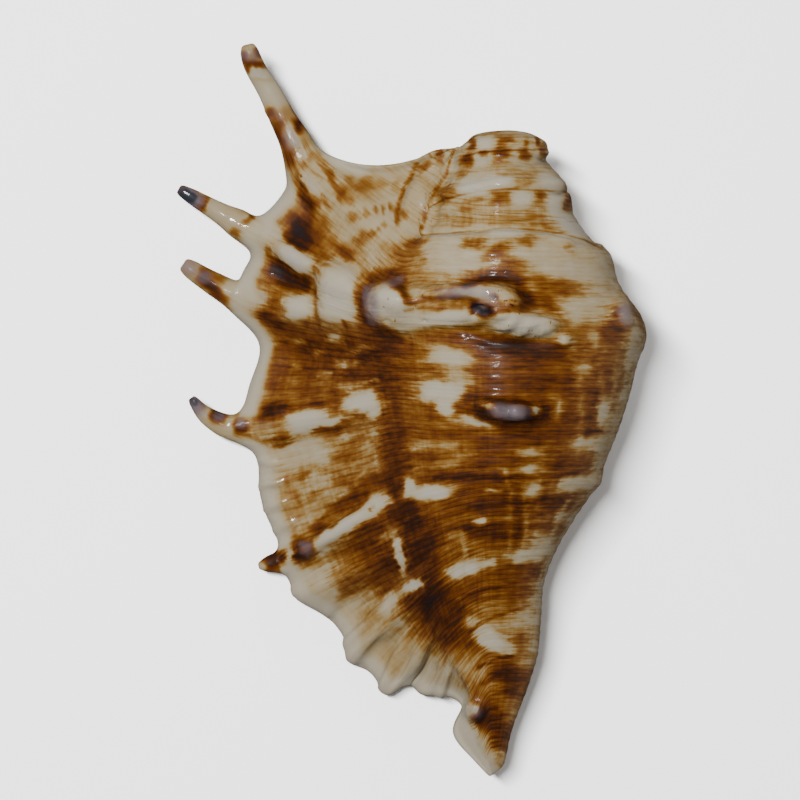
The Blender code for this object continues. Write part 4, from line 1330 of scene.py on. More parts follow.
# %% White marks: the body and the canal
WHITE.update({
    "body 1": (450, 357, 26, 10, -4, -0.15, 0.9),
    "body 2": (442, 391, 25, 11, -2, -0.35, 0.95),
    "body 3": (444, 407, 9, 9, 0, -0.25, 0.9),
    "body 4": (458, 374, 22, 7, -20, 0.02, 0.8),
    "body 5": (477, 422, 22, 4.5, -12, -0.20, 0.9),
    "body 6": (440, 446, 26, 8, 0, 0.12, 0.75),
    "body 7": (448, 464, 24, 7, 3, 0.16, 0.7),
    "body 8": (530, 452, 14, 5, 0, 0.02, 0.85),
    "body 9": (528, 468, 12, 4, 0, 0.02, 0.85),
    "stripe's foot": (431, 493, 23, 7, 4, -0.38, 1.0),
    "stripe's foot, left": (409, 487, 5, 9, 10, -0.30, 0.9),
    "dash 1": (481, 522, 7, 4, 8, -0.25, 0.9),
    "dash 2": (494, 490, 8, 2, 0, 0.00, 0.8),
    "dash 3": (531, 489, 9, 9, 0, 0.06, 0.75),
    "dash 4": (566, 484, 16, 7, 12, 0.06, 0.75),
    "dash 5": (457, 537, 9, 6, 5, 0.14, 0.7),
    "dash 6": (466, 552, 2.5, 24, 14, 0.24, 0.7),
    "ridge 1": (464, 570, 18, 6.5, 12, -0.38, 1.0),
    "ridge 2": (490, 563, 9, 4, 12, -0.10, 0.85),
    "ridge 3": (524, 556, 16, 6, 14, -0.15, 0.85),
    "ridge 4": (541, 548, 12, 8, 20, -0.05, 0.8),
    "ridge 5": (412, 586, 11, 5.5, 34, -0.38, 1.0),
    "ridge 6": (391, 601, 14, 7, 45, -0.05, 0.85),
    "canal 1": (478, 622, 15, 8, 0, 0.24, 0.7),
    "margin by the second finger": (270, 229, 14, 8, -20, -0.10, 0.85),
    "canal 2": (492, 641, 18, 9, -30, -0.30, 0.9),
    "canal 2, top": (480, 628, 12, 6, -35, 0.0, 0.8),
    "canal 2, right": (508, 650, 7, 6, -30, 0.02, 0.8),
    "canal 3": (523, 616, 9, 12, 10, 0.04, 0.75),
    "canal 4": (468, 664, 18, 14, -42, 0.22, 0.75),
    # Painted highlight: a white spot on the top of the canal's wart.
    "canal's painted highlight": (474, 709, 5, 5, 0, -0.15, 0.85),
    "canal's flange": (466, 742, 15, 26, 24, -0.20, 1.0),
    "canal's end": (490, 762, 16, 10, 0, 0.10, 0.9),
})
print(len(WHITE), "white marks so far")

# %% White marks: the right side
WHITE.update({
    "right side 1": (585, 311, 23, 14, -18, 0.02, 0.85),
    "right side 2": (593, 339, 8, 12, 0, 0.05, 0.85),
    "right side 3": (587, 368, 8, 7, 0, 0.08, 0.8),
    "right side 4": (602, 412, 6, 14, -12, -0.20, 0.9),
    "right side 5": (558, 409, 5, 11, -15, 0.00, 0.85),
    "right side 6": (590, 442, 15, 8, 0, 0.02, 0.85),
    "right side 7": (582, 483, 16, 8, 12, -0.06, 0.85),
    "right side 8": (534, 489, 6, 8, 0, -0.05, 0.85),
    "right side 9": (537, 545, 8, 18, -15, 0.10, 0.8),
    "right edge": (634, 345, 9, 26, -8, 0.00, 0.9),
    "right edge, low": (606, 450, 8, 50, -14, 0.20, 0.6),
})
print(len(WHITE), "white marks so far")

# %% White marks: the lip
WHITE.update({
    "pillow": (337, 296, 20, 30, 0, -0.30, 1.0),
    "lilac block": (293, 258, 19, 9, -38, -0.38, 1.0),
    "square block": (298, 307, 13.5, 13.5, 0, -0.25, 1.0),
    "by the square block": (264, 297, 6, 6, 0, 0.05, 0.8),
    "third finger's root": (245, 300, 20, 12, -30, -0.05, 0.85),
    "lip fleck 1": (299, 341, 7, 3.5, 15, 0.08, 0.8),
    "lip fleck 2": (335, 338, 7, 5, 0, 0.02, 0.8),
    "lip fleck 3": (356, 351, 10, 3.5, 15, 0.06, 0.8),
    "lip fleck 4": (346, 364, 11, 4.5, 12, 0.04, 0.85),
    "lip fleck 5": (297, 367, 6, 4, 10, 0.22, 0.7),
    "lip fleck 6": (318, 352, 6, 3, 12, 0.10, 0.8),
    "lip fleck 7": (326, 375, 9, 3, 12, 0.12, 0.75),
    "lip fleck 8": (345, 386, 12, 3, 14, 0.14, 0.75),
    "lip fleck 9": (289, 385, 9, 6, 6, 0.30, 0.7),
    "fourth block a": (306, 421, 20, 10, 10, -0.32, 1.0),
    "fourth link": (331, 422, 14, 3.5, 12, -0.20, 0.95),
    "fourth block b": (362, 403, 18, 10.5, 16, -0.32, 1.0),
    "fourth block b, end": (373, 412, 8, 7, 0, -0.20, 0.9),
    "fourth block b, notch": (349, 413, 10, 2.5, 14, 0.55, 0.8),
    "below the fourth finger": (302, 450, 26, 14, 14, -0.02, 0.8),
    "ochre loop's inside": (347, 437, 11, 3.5, 20, 0.04, 0.85),
    "fifth ridge": (345, 526, 40, 6, 33, -0.38, 1.0),
    "fifth ridge's end": (375, 506, 12, 8, 50, -0.30, 0.95),
    "fifth ridge's loop": (371, 509, 5, 2, 50, 0.55, 0.8),
    "fifth finger's ring": (289, 557, 4, 10, -8, -0.10, 0.9),
    "fifth finger's end": (262, 566, 4, 4, 0, 0.00, 0.9),
    "thin streak": (400, 556, 4, 20, 14, -0.30, 0.95),
    "thin streak's top": (391, 534, 12, 4, 30, 0.06, 0.8),
    "under the fifth finger": (316, 580, 20, 12, -20, -0.02, 0.8),
})
print(len(WHITE), "white marks so far")

# %% White marks: the fingers and the spire
WHITE.update({
    "first finger's rib": (312, 186, 5, 14, 24, 0.00, 0.85),
    "first finger's lilac": (291, 140, 7, 11, 24, 0.00, 0.8),
    "first finger's white": (258, 73, 9, 5, -10, -0.20, 0.95),
    "first finger's cream": (268, 92, 14, 12, 0, -0.05, 0.9),
    "second finger's root": (256, 232, 16, 10, -20, -0.05, 0.85),
    "spire white 1": (473, 188, 15, 8, 0, -0.32, 1.0),
    "spire white 2": (497, 181.5, 14, 5.5, 5, -0.30, 0.95),
    "spire white 3": (550, 182, 11, 7, -10, -0.20, 0.9),
    "spire white 4": (484, 143, 8, 6, 0, -0.20, 0.9),
    "spire white 5": (481, 160, 7, 4.5, 0, -0.15, 0.9),
    "penultimate white 1": (523, 198, 10, 7.5, 0, -0.15, 0.95),
    "penultimate white 2": (555, 203, 7, 13, -8, -0.20, 0.95),
    "penultimate white 3": (572, 226, 18, 7, -38, -0.28, 0.95),
    "suture rim 1": (452, 233, 28, 3.5, 4, -0.05, 0.8),
    "suture rim 2": (508, 231, 20, 5, 2, -0.20, 0.9),
    "suture rim 3": (560, 238, 24, 5, -12, -0.02, 0.8),
})
print(len(WHITE), "white marks so far")

# %% [markdown]
# Thin lines are drawn along paths: cracks and rims about the knobs, then pale and dark growth
# lines across the cords, and last the darkest cords themselves. A few are painted light and shade:
# shade in the furrow where the lip meets the spire and along a fold on the lobe, and a paler band of
# painted light along the right edge.

# %% Drawn lines: about the knobs
# A path of places, half width, tone and cover.
LINES = {
    "foot of the left lobe": ([(365, 318), (374, 331), (388, 338), (400, 341)], 5, 0.95, 0.8),
    "over the left lobe": ([(361, 314), (361, 295), (373, 280), (390, 275), (404, 281)], 4.5, 0.92, 0.7),
    "left of the left lobe": ([(357, 300), (358, 288), (364, 279)], 3, 0.45, 0.8),
    "over the right lobe": ([(466, 284), (485, 277), (502, 276), (518, 283), (527, 297)], 5, 0.95, 0.8),
    "inside the left lobe": ([(393, 285), (401, 288), (406, 297), (411, 302)], 4.5, 0.82, 0.9),
    "along the bridge": ([(408, 304), (428, 300), (445, 296), (470, 300)], 3, 0.62, 0.85),
    "amber in the left lobe": ([(405, 311), (420, 308), (428, 303)], 2, 0.42, 0.8),
    "under the right lobe": ([(474, 313), (486, 315), (500, 311), (512, 308), (520, 310)], 3, 0.72, 0.85),
    "dark hollow": ([(475, 306), (482, 311), (490, 311)], 5, 1.25, 1.0),
    "black spot": ([(494, 296), (496, 297)], 2.5, 1.15, 0.95),
    "honey in the right lobe": ([(496, 304), (508, 303), (518, 300)], 4, 0.36, 0.8),
    "above the second knob": ([(466, 400), (478, 402), (500, 399), (520, 401)], 4, 0.85, 0.7),
    "below the second knob": ([(480, 416), (500, 426), (524, 426), (544, 416)], 4, 0.98, 0.8),
    "second knob's crack": ([(508, 407), (510, 412), (508, 418)], 1.8, 1.1, 0.6),
    "before the second knob's end": ([(529, 407), (531, 413), (528, 419)], 2.0, 1.1, 0.7),
    "left of the right knob": ([(617, 310), (614, 321), (619, 331)], 3.5, 1.0, 0.85),
}
print(len(LINES), "drawn lines so far")

# %% Drawn lines: growth lines
LINES.update({
    # Painted shade: the line where the lip meets the spire is the shade in that furrow.
    "lip against the spire": ([(421, 232), (425, 212), (435, 193), (445, 177), (453, 152)], 1.6, 0.70, 0.6),
    # Partly painted shade: the line on the lobe is the shade along a fold, over a reddish line.
    "line on the lobe": ([(418, 163), (405, 186), (399, 202), (397, 222)], 1.8, 0.66, 0.8),
    "growth scar": ([(313, 272), (315, 300), (317, 320), (322, 345)], 1.8, 0.75, 0.5),
    "under the fourth link": ([(312, 430), (330, 427), (350, 419), (366, 415)], 2.2, 0.75, 0.7),
    "pale growth line 1": ([(505, 470), (510, 495), (511, 525), (509, 550)], 3.0, 0.12, 0.5),
    "pale growth line 2": ([(460, 530), (464, 552), (463, 575)], 2.0, 0.16, 0.6),
    "pale growth line 3": ([(572, 345), (580, 380), (582, 420), (578, 455)], 3.4, 0.12, 0.5),
    "pale growth line 4": ([(545, 440), (541, 475), (538, 520)], 3.0, 0.12, 0.5),
    "pale growth line 5": ([(598, 360), (603, 395), (600, 430)], 3.4, 0.10, 0.5),
    "pale growth line 6": ([(618, 352), (614, 385), (608, 420), (596, 455)], 3.4, 0.08, 0.55),
    "pale growth line 7": ([(566, 500), (556, 525), (545, 552)], 3.4, 0.04, 0.65),
    "pale growth line 8": ([(524, 500), (526, 530), (522, 556)], 3.0, 0.10, 0.6),
    "dark growth line 2": ([(344, 320), (349, 350), (352, 380)], 2.2, 0.86, 0.6),
    "dark growth line 3": ([(330, 345), (333, 372), (335, 395)], 2.0, 0.80, 0.5),
    "dark growth line 4": ([(560, 430), (558, 470), (552, 520)], 2.4, 0.84, 0.5),
    "dark growth line 5": ([(590, 345), (596, 380), (594, 420)], 2.2, 0.80, 0.5),
})
print(len(LINES), "drawn lines so far")

# %% Drawn lines: cords
LINES.update({
    "dark cord 1": ([(478, 351), (520, 352), (575, 352)], 1.6, 0.95, 0.6),
    "dark cord 2": ([(482, 369), (540, 366), (600, 362)], 1.4, 0.88, 0.5),
    "dark cord 3": ([(482, 438), (540, 437), (600, 431)], 1.5, 0.95, 0.6),
    "dark cord 4": ([(435, 478), (490, 479), (550, 476), (590, 470)], 1.6, 1.0, 0.6),
    "dark cord 5": ([(470, 506), (520, 504), (570, 496)], 1.6, 0.98, 0.6),
    "dark cord 6": ([(455, 528), (500, 524), (545, 516)], 1.5, 0.95, 0.5),
    "dark cord 7": ([(460, 596), (490, 588), (530, 580)], 1.5, 0.90, 0.5),
    "dark cord 8": ([(470, 630), (495, 616), (530, 606)], 1.6, 0.88, 0.5),
    "dark cord 9": ([(478, 668), (495, 660), (512, 656)], 1.6, 1.0, 0.7),
    "dark cord 10": ([(482, 684), (500, 675), (514, 672)], 1.6, 0.98, 0.6),
    # Painted light: a paler band along the whole right edge, where the steep side would fall into shade.
    "painted light along the right edge": ([(640, 345), (633, 372), (624, 402), (607, 450), (586, 500), (556, 548),
                         (539, 600), (533, 650)], 8, 0.06, 0.75),
    "white by the stripe": ([(345, 392), (350, 388), (378, 378)], 1.6, -0.15, 0.5),
    "white above the tail": ([(470, 268), (485, 265), (500, 262)], 2.2, -0.05, 0.8),
})
print(len(LINES), "drawn lines so far")

# %% [markdown]
# ## Worn places
# Where the knobs and the ends of the fingers are worn, a grey violet layer shows through, and the
# surface is lumpy and pitted. These are fields of their own, since no amount of brown gives them. A
# few violet marks are painted highlights instead, on the dark bands of two fingers and on the canal's
# wart.

# %% Violet marks
# x, y, half length, half width, turn and cover.
VIOLET = {
    "left lobe's side": (372, 305, 8, 20, 10, 0.85),
    "left lobe's far side": (392, 283, 14, 5, 20, 0.5),
    "bridge": (460, 292, 26, 6, 4, 0.75),
    "right lobe": (488, 296, 12, 8, -20, 0.7),
    "dark hollow": (481, 309, 8, 6, 0, 0.5),
    "second knob": (510, 412, 19, 8, -4, 0.9),
    "right knob": (626, 314, 7, 13, 12, 0.95),
    "first finger's middle": (291, 139, 8, 12, 24, 0.6),
    "first finger's tan": (279, 115, 16, 9, -5, 0.3),
    "first finger's white": (258, 73, 8, 5, 0, 0.35),
    "first finger's end": (249, 55, 12, 7, 0, 0.55),
    "first finger's rib": (313, 186, 5, 14, 24, 0.3),
    "second finger's end": (190, 197, 14, 9, -36, 1.0),
    "third finger's end": (189, 267, 10, 10, 0, 0.75),
    "third finger's middle": (203, 277, 9, 8, 0, 0.5),
    "margin above the fifth finger": (270, 490, 9, 40, 10, 0.16),
    "fourth finger's end": (197, 407, 8, 12, 30, 0.9),
    "fourth finger's ring": (219, 416, 7, 6, 0, 0.5),
    # Painted highlight: a grey violet sheen over the dark band of the fourth finger.
    "fourth finger's band": (241, 422, 5, 6, 0, 0.6),
    "lilac block": (292, 258, 16, 8, -40, 0.35),
    "by the square block": (264, 296, 6, 6, 0, 0.35),
    "fourth finger's blush": (262, 425, 14, 6, 0, 0.25),
    # Painted highlight: a grey violet sheen over the dark band of the fifth finger.
    "painted highlight on the fifth finger's band": (305, 548, 7, 8, 0, 0.5),
    # Painted highlight: the lilac tint over the white spot on the canal's wart.
    "canal's painted highlight": (475, 712, 8, 8, 0, 0.45),
}
print(len(VIOLET), "violet marks")

# %% Lumpy places and calm edges
# Where the marks' edges fray less, and then where the surface is worn into lumps: an oval and a
# share.
CALM = {
    "left lobe": (392, 305, 44, 40, 0, 0.9),
    "right lobe and tail": (500, 305, 70, 40, 0, 0.6),
    "spire": (510, 185, 85, 62, 0, 0.7),
    "lip by the second finger": (300, 250, 60, 70, 0, 0.5),
    "second knob": (510, 411, 34, 18, 0, 0.7),
}
LUMPY = {
    "left lobe": (392, 305, 28, 25, -15, 1.0),
    "bridge": (448, 306, 34, 18, 2, 0.8),
    "right lobe": (500, 302, 26, 20, -10, 1.0),
    "tail": (527, 326, 36, 12, -8, 1.0),
    "second knob": (510, 411, 26, 11, -4, 1.0),
    "right knob": (625, 313, 10, 16, 14, 0.9),
    "pillow": (337, 296, 20, 30, 0, 0.5),
    "fourth finger's wart": (277, 411, 14, 7, 10, 0.7),
    "first finger": (302, 165, 9, 34, 24, 0.6),
    "canal's wart": (473, 711, 9, 10, 0, 0.5),
}
print(len(CALM), "calm places,", len(LUMPY), "lumpy places")

# %% [markdown]
# ## Painting the brown
# The marks are laid over one another in turn, washes first and drawn lines last, as glazes are
# laid over a ground. Each point is looked up a little beside its own place, by a smooth noise, so
# that no mark keeps an oval's outline. How steeply the brown changes there is kept as well, since
# the finish frays the marks where they end.

# %% Painting the brown
GROUND = 0.30
WASH_BLUNTNESS = 1.2
MARK_BLUNTNESS = 1.5
# The noise that moves the marks' outlines: the length of its waves in mm, and its reach in pixels.
RAGGEDNESS = [(2.6, 2.2), (1.1, 1.2)]
CALM_SHARE = 0.7
# The same noise is read this far away, in mm, for the second direction.
NOISE_APART = 90.0
EDGE_STEP = 4.0
STEEPEST_EDGE = 0.8


def cover_of(ovals):
    """The strongest cover that any of these ovals gives each place."""
    cover = np.zeros(len(places))
    for *oval, share in ovals.values():
        cover = np.maximum(cover, share * spot(places, *oval, MARK_BLUNTNESS))
    return cover


def painted(at):
    """The brown at these places: the ground, then every mark in turn."""
    tones = np.full(len(at), GROUND)
    for layer, blunt in ((WASHES, WASH_BLUNTNESS), (BROWN, MARK_BLUNTNESS), (WHITE, MARK_BLUNTNESS)):
        for *oval, tone, cover in layer.values():
            tones += (tone - tones) * cover * spot(at, *oval, blunt)
    for path, half_width, tone, cover in LINES.values():
        tones += (tone - tones) * cover * stroke(at, path, half_width)
    return tones


places = seen_places()
points = points_of(shell_mesh)
calm, violet, lumpy = (cover_of(ovals) for ovals in (CALM, VIOLET, LUMPY))
ragged = places.copy()
for length, reach_px in RAGGEDNESS:
    for k in range(2):
        sway = swells(points + k * NOISE_APART, length)
        ragged[:, k] += reach_px * (1 - CALM_SHARE * calm) * sway
brown = painted(ragged)
steepness = np.abs(painted(ragged + (EDGE_STEP, 0)) - painted(ragged - (EDGE_STEP, 0)))
edge = np.clip(steepness, 0, STEEPEST_EDGE) * (1 - calm)
print("brown from", round(brown.min(), 2), "to", round(brown.max(), 2))

# %% [markdown]
# ## Margin, underside and aperture
# The lip's rim is plain cream, the last thing the animal laid down. Underneath, a callus hides
# the pattern, and the aperture is smooth and flushed with apricot deep inside. The charts say
# where a point is on the way round, so these need no marks of their own.

# %% Margin, underside and aperture
# The picture's scale at the height where the outline was measured.
PIXELS_PER_MM = 4.85
MARGIN_TONE = -0.15
MARGIN_FROM, MARGIN_TO = 0.6, 3.6
# The lip's edge has a margin as far up as this line's height.
MARGIN_BELOW = 42
# Where the pattern runs out into a finger: x, y, half length, half width and turn.
FINGER_ROOTS = {
    "posterior": (312, 176, 44, 22, -58), "second": (256, 230, 28, 12, -28),
    "third": (252, 306, 28, 10, -28), "fourth": (252, 428, 26, 11, -14), "fifth": (288, 556, 18, 9, 14),
}
CALLUS_TONE = 0.10
# Where things begin and end on the way round, in points of a line: the callus, the mouth of the
# aperture and the steep strip along the right edge, which gets painted shade and a thinner coat.
CALLUS_WAY, CALLUS_END = (12.3, 14.3), 24.2
MOUTH_WAY = (15.3, 17.5, 20.5, 23.8)
SHADED_SIDE_WAY = (9.3, 10.7, 12.0, 13.5)
# Where the fine pattern is faint: an oval and a share.
FAINT_ON_FINGERS = 0.8
FAINT = {
    "web beside the spire": (378, 200, 60, 46, 0, 0.7),
    "lower flounce": (385, 655, 58, 26, -40, 0.75),
}


lip_edge = PICTURE_SIDE / 2 + (np.array(EDGE)[2:, 1:] - EYE) * (PIXELS_PER_MM, -PIXELS_PER_MM)
from_edge = path_distance(places, lip_edge) / PIXELS_PER_MM
margin = 1 - smooth_step(MARGIN_FROM, MARGIN_TO, from_edge)
for oval in FINGER_ROOTS.values():
    margin *= 1 - spot(places, *oval, MARK_BLUNTNESS)
margin *= (1 - on_finger) * (cord < MARGIN_BELOW)
brown += (MARGIN_TONE - brown) * margin
callus = smooth_step(*CALLUS_WAY, way) * (way < CALLUS_END) * (1 - on_finger)
brown += (CALLUS_TONE - brown) * callus
inner = band(way, *MOUTH_WAY) * (1 - on_finger)
# The steep strip along the right edge: painted shade in its colour, and a thinner coat.
shaded_matte_side = band(way, *SHADED_SIDE_WAY) * (1 - on_finger)
faint = [share * spot(places, *oval, WASH_BLUNTNESS) for *oval, share in FAINT.values()]
plain = np.maximum.reduce([margin, callus, FAINT_ON_FINGERS * on_finger, *faint])
print("margin:", int((margin > 0.5).sum()), "points; callus:", int((callus > 0.5).sum()), "points")

# %% [markdown]
# ## Seams between the whorls
# Each whorl overlaps the one before it in a thin raised seam, and a dark line of painted shade is
# drawn in the step along it. The line is narrower than a face of the mesh, so it can't be painted
# point by point. Instead the mesh carries the distance from the nearest seam, which is smooth, and the
# finish draws the line where that distance is nearly 0.

# %% Seams between the whorls
# From the newest seam to the oldest.
SEAM_PATHS = [
    [(420, 235), (452, 233), (481, 230), (505, 228), (537, 230), (565, 234), (585, 240), (604, 250)],
    [(426, 209), (445, 199), (475, 192), (505, 189), (535, 190), (572, 192)],
    [(462, 157), (480, 152), (509, 150), (537, 150), (550, 149)],
]
SEAM_REACH = 3.0
below_seam = np.full(len(points), SEAM_REACH)
for path in SEAM_PATHS:
    seam_x, seam_y = np.array(path, float).T
    drop = (places[:, 1] - np.interp(places[:, 0], seam_x, seam_y)) / PIXELS_PER_MM
    drop[(places[:, 0] < seam_x[0]) | (places[:, 0] > seam_x[-1]) | (upward < 0.1)] = SEAM_REACH
    below_seam = np.where(np.abs(drop) < np.abs(below_seam), drop, below_seam)
fields = {
    "brown": brown, "violet": violet * (1 - callus), "cord": cord, "inner": inner,
    "plain": plain, "growth": way, "edge": edge * (1 - plain), "shaded_matte_side": shaded_matte_side,
    "lumpy": lumpy * (upward > 0), "seam": below_seam,
}
keep_fields(fields)
print("fields:", ", ".join(fields))

# %% [markdown]
# ## Porcelain finish
# Shell is a hard, dense lime with the brown laid down in it, so one glossy material serves the
# whole piece, and the fields say what it does where. Noise is used for all that is too fine to
# paint: it is drawn out along the cords, because the animal laid its colour down in streaks.

# %% Tools for the finish
NOISE_SPREAD = 3.2
finish = bpy.data.materials.new("porcelain")
finish.use_nodes = True
tree = finish.node_tree
shader = tree.nodes["Principled BSDF"]


def node(kind, *inputs, **settings):
    """A node of this kind with its inputs set or linked in order, and its settings."""
    made = tree.nodes.new("ShaderNode" + kind)
    for name, value in settings.items():
        setattr(made, name, value)
    for k, value in enumerate(inputs):
        if isinstance(value, bpy.types.NodeSocket):
            tree.links.new(value, made.inputs[k])
        elif value is not None:
            made.inputs[k].default_value = value
    return made


def sum_up(operation, *inputs, clamp=False):
    """The output of a math node."""
    return node("Math", *inputs, operation=operation, use_clamp=clamp).outputs[0]


def add(value, weight, rest):
    """The value times its weight, added to the rest."""
    return sum_up("MULTIPLY_ADD", value, weight, rest)


def mapped(value, low, high, first, last):
    """The value moved from the range low to high into the range first to last, and held there."""
    return node("MapRange", value, low, high, first, last).outputs[0]


def field(name):
    """One of the fields painted on the mesh."""
    return node("Attribute", attribute_name=name).outputs["Fac"]


def grain(vector, scale, detail):
    """Noise of this scale and detail, about 0.2 to 0.8."""
    made = node("TexNoise", vector)
    made.inputs["Scale"].default_value = scale
    made.inputs["Detail"].default_value = detail
    return made


def even(noise_node):
    """The noise stretched to about -1 to 1."""
    return sum_up("MULTIPLY_ADD", noise_node.outputs[0], NOISE_SPREAD, -NOISE_SPREAD / 2)


def mixed(share, a, b):
    """The colours a and b mixed by a share; each is a socket or a colour."""
    made = node("Mix", data_type="RGBA")
    for socket, value in ((made.inputs["Factor"], share), (made.inputs[6], a), (made.inputs[7], b)):
        if isinstance(value, bpy.types.NodeSocket):
            tree.links.new(value, socket)
        else:
            socket.default_value = (*value, 1) if isinstance(value, tuple) else value
    return made.outputs[2]


print("fields to read:", len(fields))

# %% Streaks and blotches
# Waves to the mm along the cords and across them, and detail.
STREAKS = {"long": (0.09, 0.6, 4.0), "short": (0.30, 1.3, 3.0), "fine": (0.45, 2.6, 3.0)}
STREAK_ROUGHNESS = 0.55
BLOTCH_SCALE = 190.0
GROWTH_LINES, GROWTH_DRIFT = 6.0, 0.14
where = node("TexCoord").outputs["Object"]
here = node("SeparateXYZ", where).outputs


def streaks(along, across, detail):
    """Noise drawn out along the cords, about -1 to 1."""
    vector = node(
        "CombineXYZ", sum_up("MULTIPLY", here[0], along / MM),
        sum_up("MULTIPLY", field("cord"), across), sum_up("MULTIPLY", here[2], along / MM),
    ).outputs[0]
    made = grain(vector, 1.0, detail)
    made.inputs["Roughness"].default_value = STREAK_ROUGHNESS
    return even(made)


long_streak, short_streak, fine_streak = (streaks(*sizes) for sizes in STREAKS.values())
blotch = even(grain(where, BLOTCH_SCALE, 3.0))
growth = grain(node(
    "CombineXYZ", sum_up("MULTIPLY", field("growth"), GROWTH_LINES),
    sum_up("MULTIPLY", field("cord"), GROWTH_DRIFT),
).outputs[0], 1.0, 3.0)
growth_line = even(growth)
print("streaks:", ", ".join(STREAKS))

# %% Breaking up the brown
# How much each noise adds to the brown, and how much more where a mark ends.
BREAKS = [
    (long_streak, 0.24), (short_streak, 0.15), (blotch, 0.14), (fine_streak, 0.12), (growth_line, 0.10),
]
FRAYS = [(short_streak, 0.4), (fine_streak, 0.25), (long_streak, 0.25)]
broken = 0.0
for made, weight in BREAKS:
    broken = add(made, weight, broken)
fray = 0.0
for made, weight in FRAYS:
    fray = add(made, weight, fray)
open_share = sum_up("SUBTRACT", 1.0, field("plain"), clamp=True)
# White breaks up less than brown, and a plain place hardly at all.
room = sum_up("MULTIPLY_ADD", field("brown"), 1.8, 0.30, clamp=True)
room = sum_up("MULTIPLY", room, add(open_share, 0.8, 0.2))
brown_here = add(broken, room, field("brown"))
brown_here = add(fray, field("edge"), brown_here)
print("broken up by", len(BREAKS), "noises")

# %% [markdown]
# The grooves between the cords hold more brown than their crests, and along the seams a darker
# line is painted as the shade in the step between whorls. A cosine of the cord field gives a line for
# each groove, as a thread gives its turns, and it wanders with the streaks so that it isn't ruled.

# %% Grooves, seams and pores
CORD_PITCH = 0.86
CORD_FREQUENCY = 2 * math.pi / CORD_PITCH
WANDER = 0.22
# A groove begins where the cosine passes the first of these, and is darkest at the second.
GROOVE_RANGE = (0.3, 1.0)
GROOVE_BROWN = 0.13
# The seam line is painted shade: how ragged, how wide and how dark it is.
SEAM_RAGGED, SEAM_WIDTH, SEAM_SHADE = 0.12, 0.36, 0.45
# A pore begins where fine noise passes the first of these, and is this dark from the second on.
PORE_SCALE = 850.0
PORE_RANGE, PORE_BROWN = (0.66, 0.74), 0.65
wander = add(long_streak, WANDER, field("cord"))
wave = sum_up("COSINE", sum_up("MULTIPLY", wander, CORD_FREQUENCY))
groove = mapped(wave, *GROOVE_RANGE, 0.0, 1.0)
groove = sum_up("MULTIPLY", groove, sum_up("MULTIPLY_ADD", brown_here, 1.4, 0.30, clamp=True))
groove = sum_up("MULTIPLY", groove, open_share)
brown_here = add(groove, GROOVE_BROWN, brown_here)
# Painted shade: a dark line along each seam, in the step where one whorl overlaps the next.
seam = add(blotch, SEAM_RAGGED, field("seam"))
seam_shade_line = mapped(sum_up("ABSOLUTE", seam), 0.0, SEAM_WIDTH, 1.0, 0.0)
seam_shade_line = sum_up("MULTIPLY", seam_shade_line, sum_up("MULTIPLY_ADD", long_streak, 0.6, 0.6, clamp=True))
brown_here = add(seam_shade_line, SEAM_SHADE, brown_here)
pore = mapped(grain(where, PORE_SCALE, 2.0).outputs[0], *PORE_RANGE, 0.0, PORE_BROWN)
brown_here = add(pore, field("lumpy"), brown_here)
print("cords in the finish:", round(CORD_PITCH, 2), "mm apart")

# %% [markdown]
# ## Colour
# A ramp turns the brown into colour. Its stops are the tones of the shell itself: cream, honey,
# amber, chestnut and nearly black. The violet layer, the apricot of the aperture and a painted
# shade along the steep right side are laid over it.

# %% Colour
TONES = [
    (-0.40, (0.178, 0.162, 0.132)), (-0.05, (0.166, 0.142, 0.099)), (0.13, (0.148, 0.112, 0.060)),
    (0.24, (0.122, 0.073, 0.022)), (0.38, (0.088, 0.037, 0.0050)), (0.60, (0.056, 0.0155, 0.0012)),
    (0.85, (0.025, 0.0062, 0.0009)), (1.05, (0.011, 0.0035, 0.0012)), (1.30, (0.006, 0.004, 0.005)),
]
LEAST, MOST = TONES[0][0], TONES[-1][0]
LILAC, SLATE, APRICOT = (0.085, 0.070, 0.076), (0.012, 0.014, 0.019), (0.25, 0.12, 0.055)
# The flat grey brown that the steep right side is pulled towards, as painted shade.
SIDE_SHADE_TONE = (0.120, 0.100, 0.070)
# How far the aperture is flushed with apricot, and how far the right side is pulled into painted shade.
FLUSH, SIDE_SHADE_SHARE = 0.75, 0.12
# The violet begins where its field passes the first of these, and covers this much from the
# second on. A streak frays it by this share.
VEIL_RANGE, VEIL_COVER, VEIL_FRAY = (0.15, 0.95), 0.85, 0.18
# Violet turns from lilac to slate over brown of this depth.
SLATE_RANGE = (0.9, 1.2)
ramp = node("ValToRGB", mapped(brown_here, LEAST, MOST, 0.0, 1.0))
stops = ramp.color_ramp.elements
for _ in TONES[2:]:
    stops.new(0.5)
for stop, (tone, colour) in zip(stops, TONES):
    stop.position = (tone - LEAST) / (MOST - LEAST)
    stop.color = (*colour, 1)
# Over cream the violet is lilac, and over the darkest marks it is slate.
worn = mixed(mapped(field("brown"), *SLATE_RANGE, 0.0, 1.0), LILAC, SLATE)
veil = add(short_streak, VEIL_FRAY, field("violet"))
colour = mixed(mapped(veil, *VEIL_RANGE, 0.0, VEIL_COVER), ramp.outputs[0], worn)
colour = mixed(sum_up("MULTIPLY", field("inner"), FLUSH), colour, APRICOT)
# Painted shade: on the steep right side, where little light falls, the colour is greyed towards a flat
# brown.
colour = mixed(sum_up("MULTIPLY", field("shaded_matte_side"), SIDE_SHADE_SHARE), colour, SIDE_SHADE_TONE)
tree.links.new(colour, shader.inputs["Base Color"])
print("tones:", len(TONES))

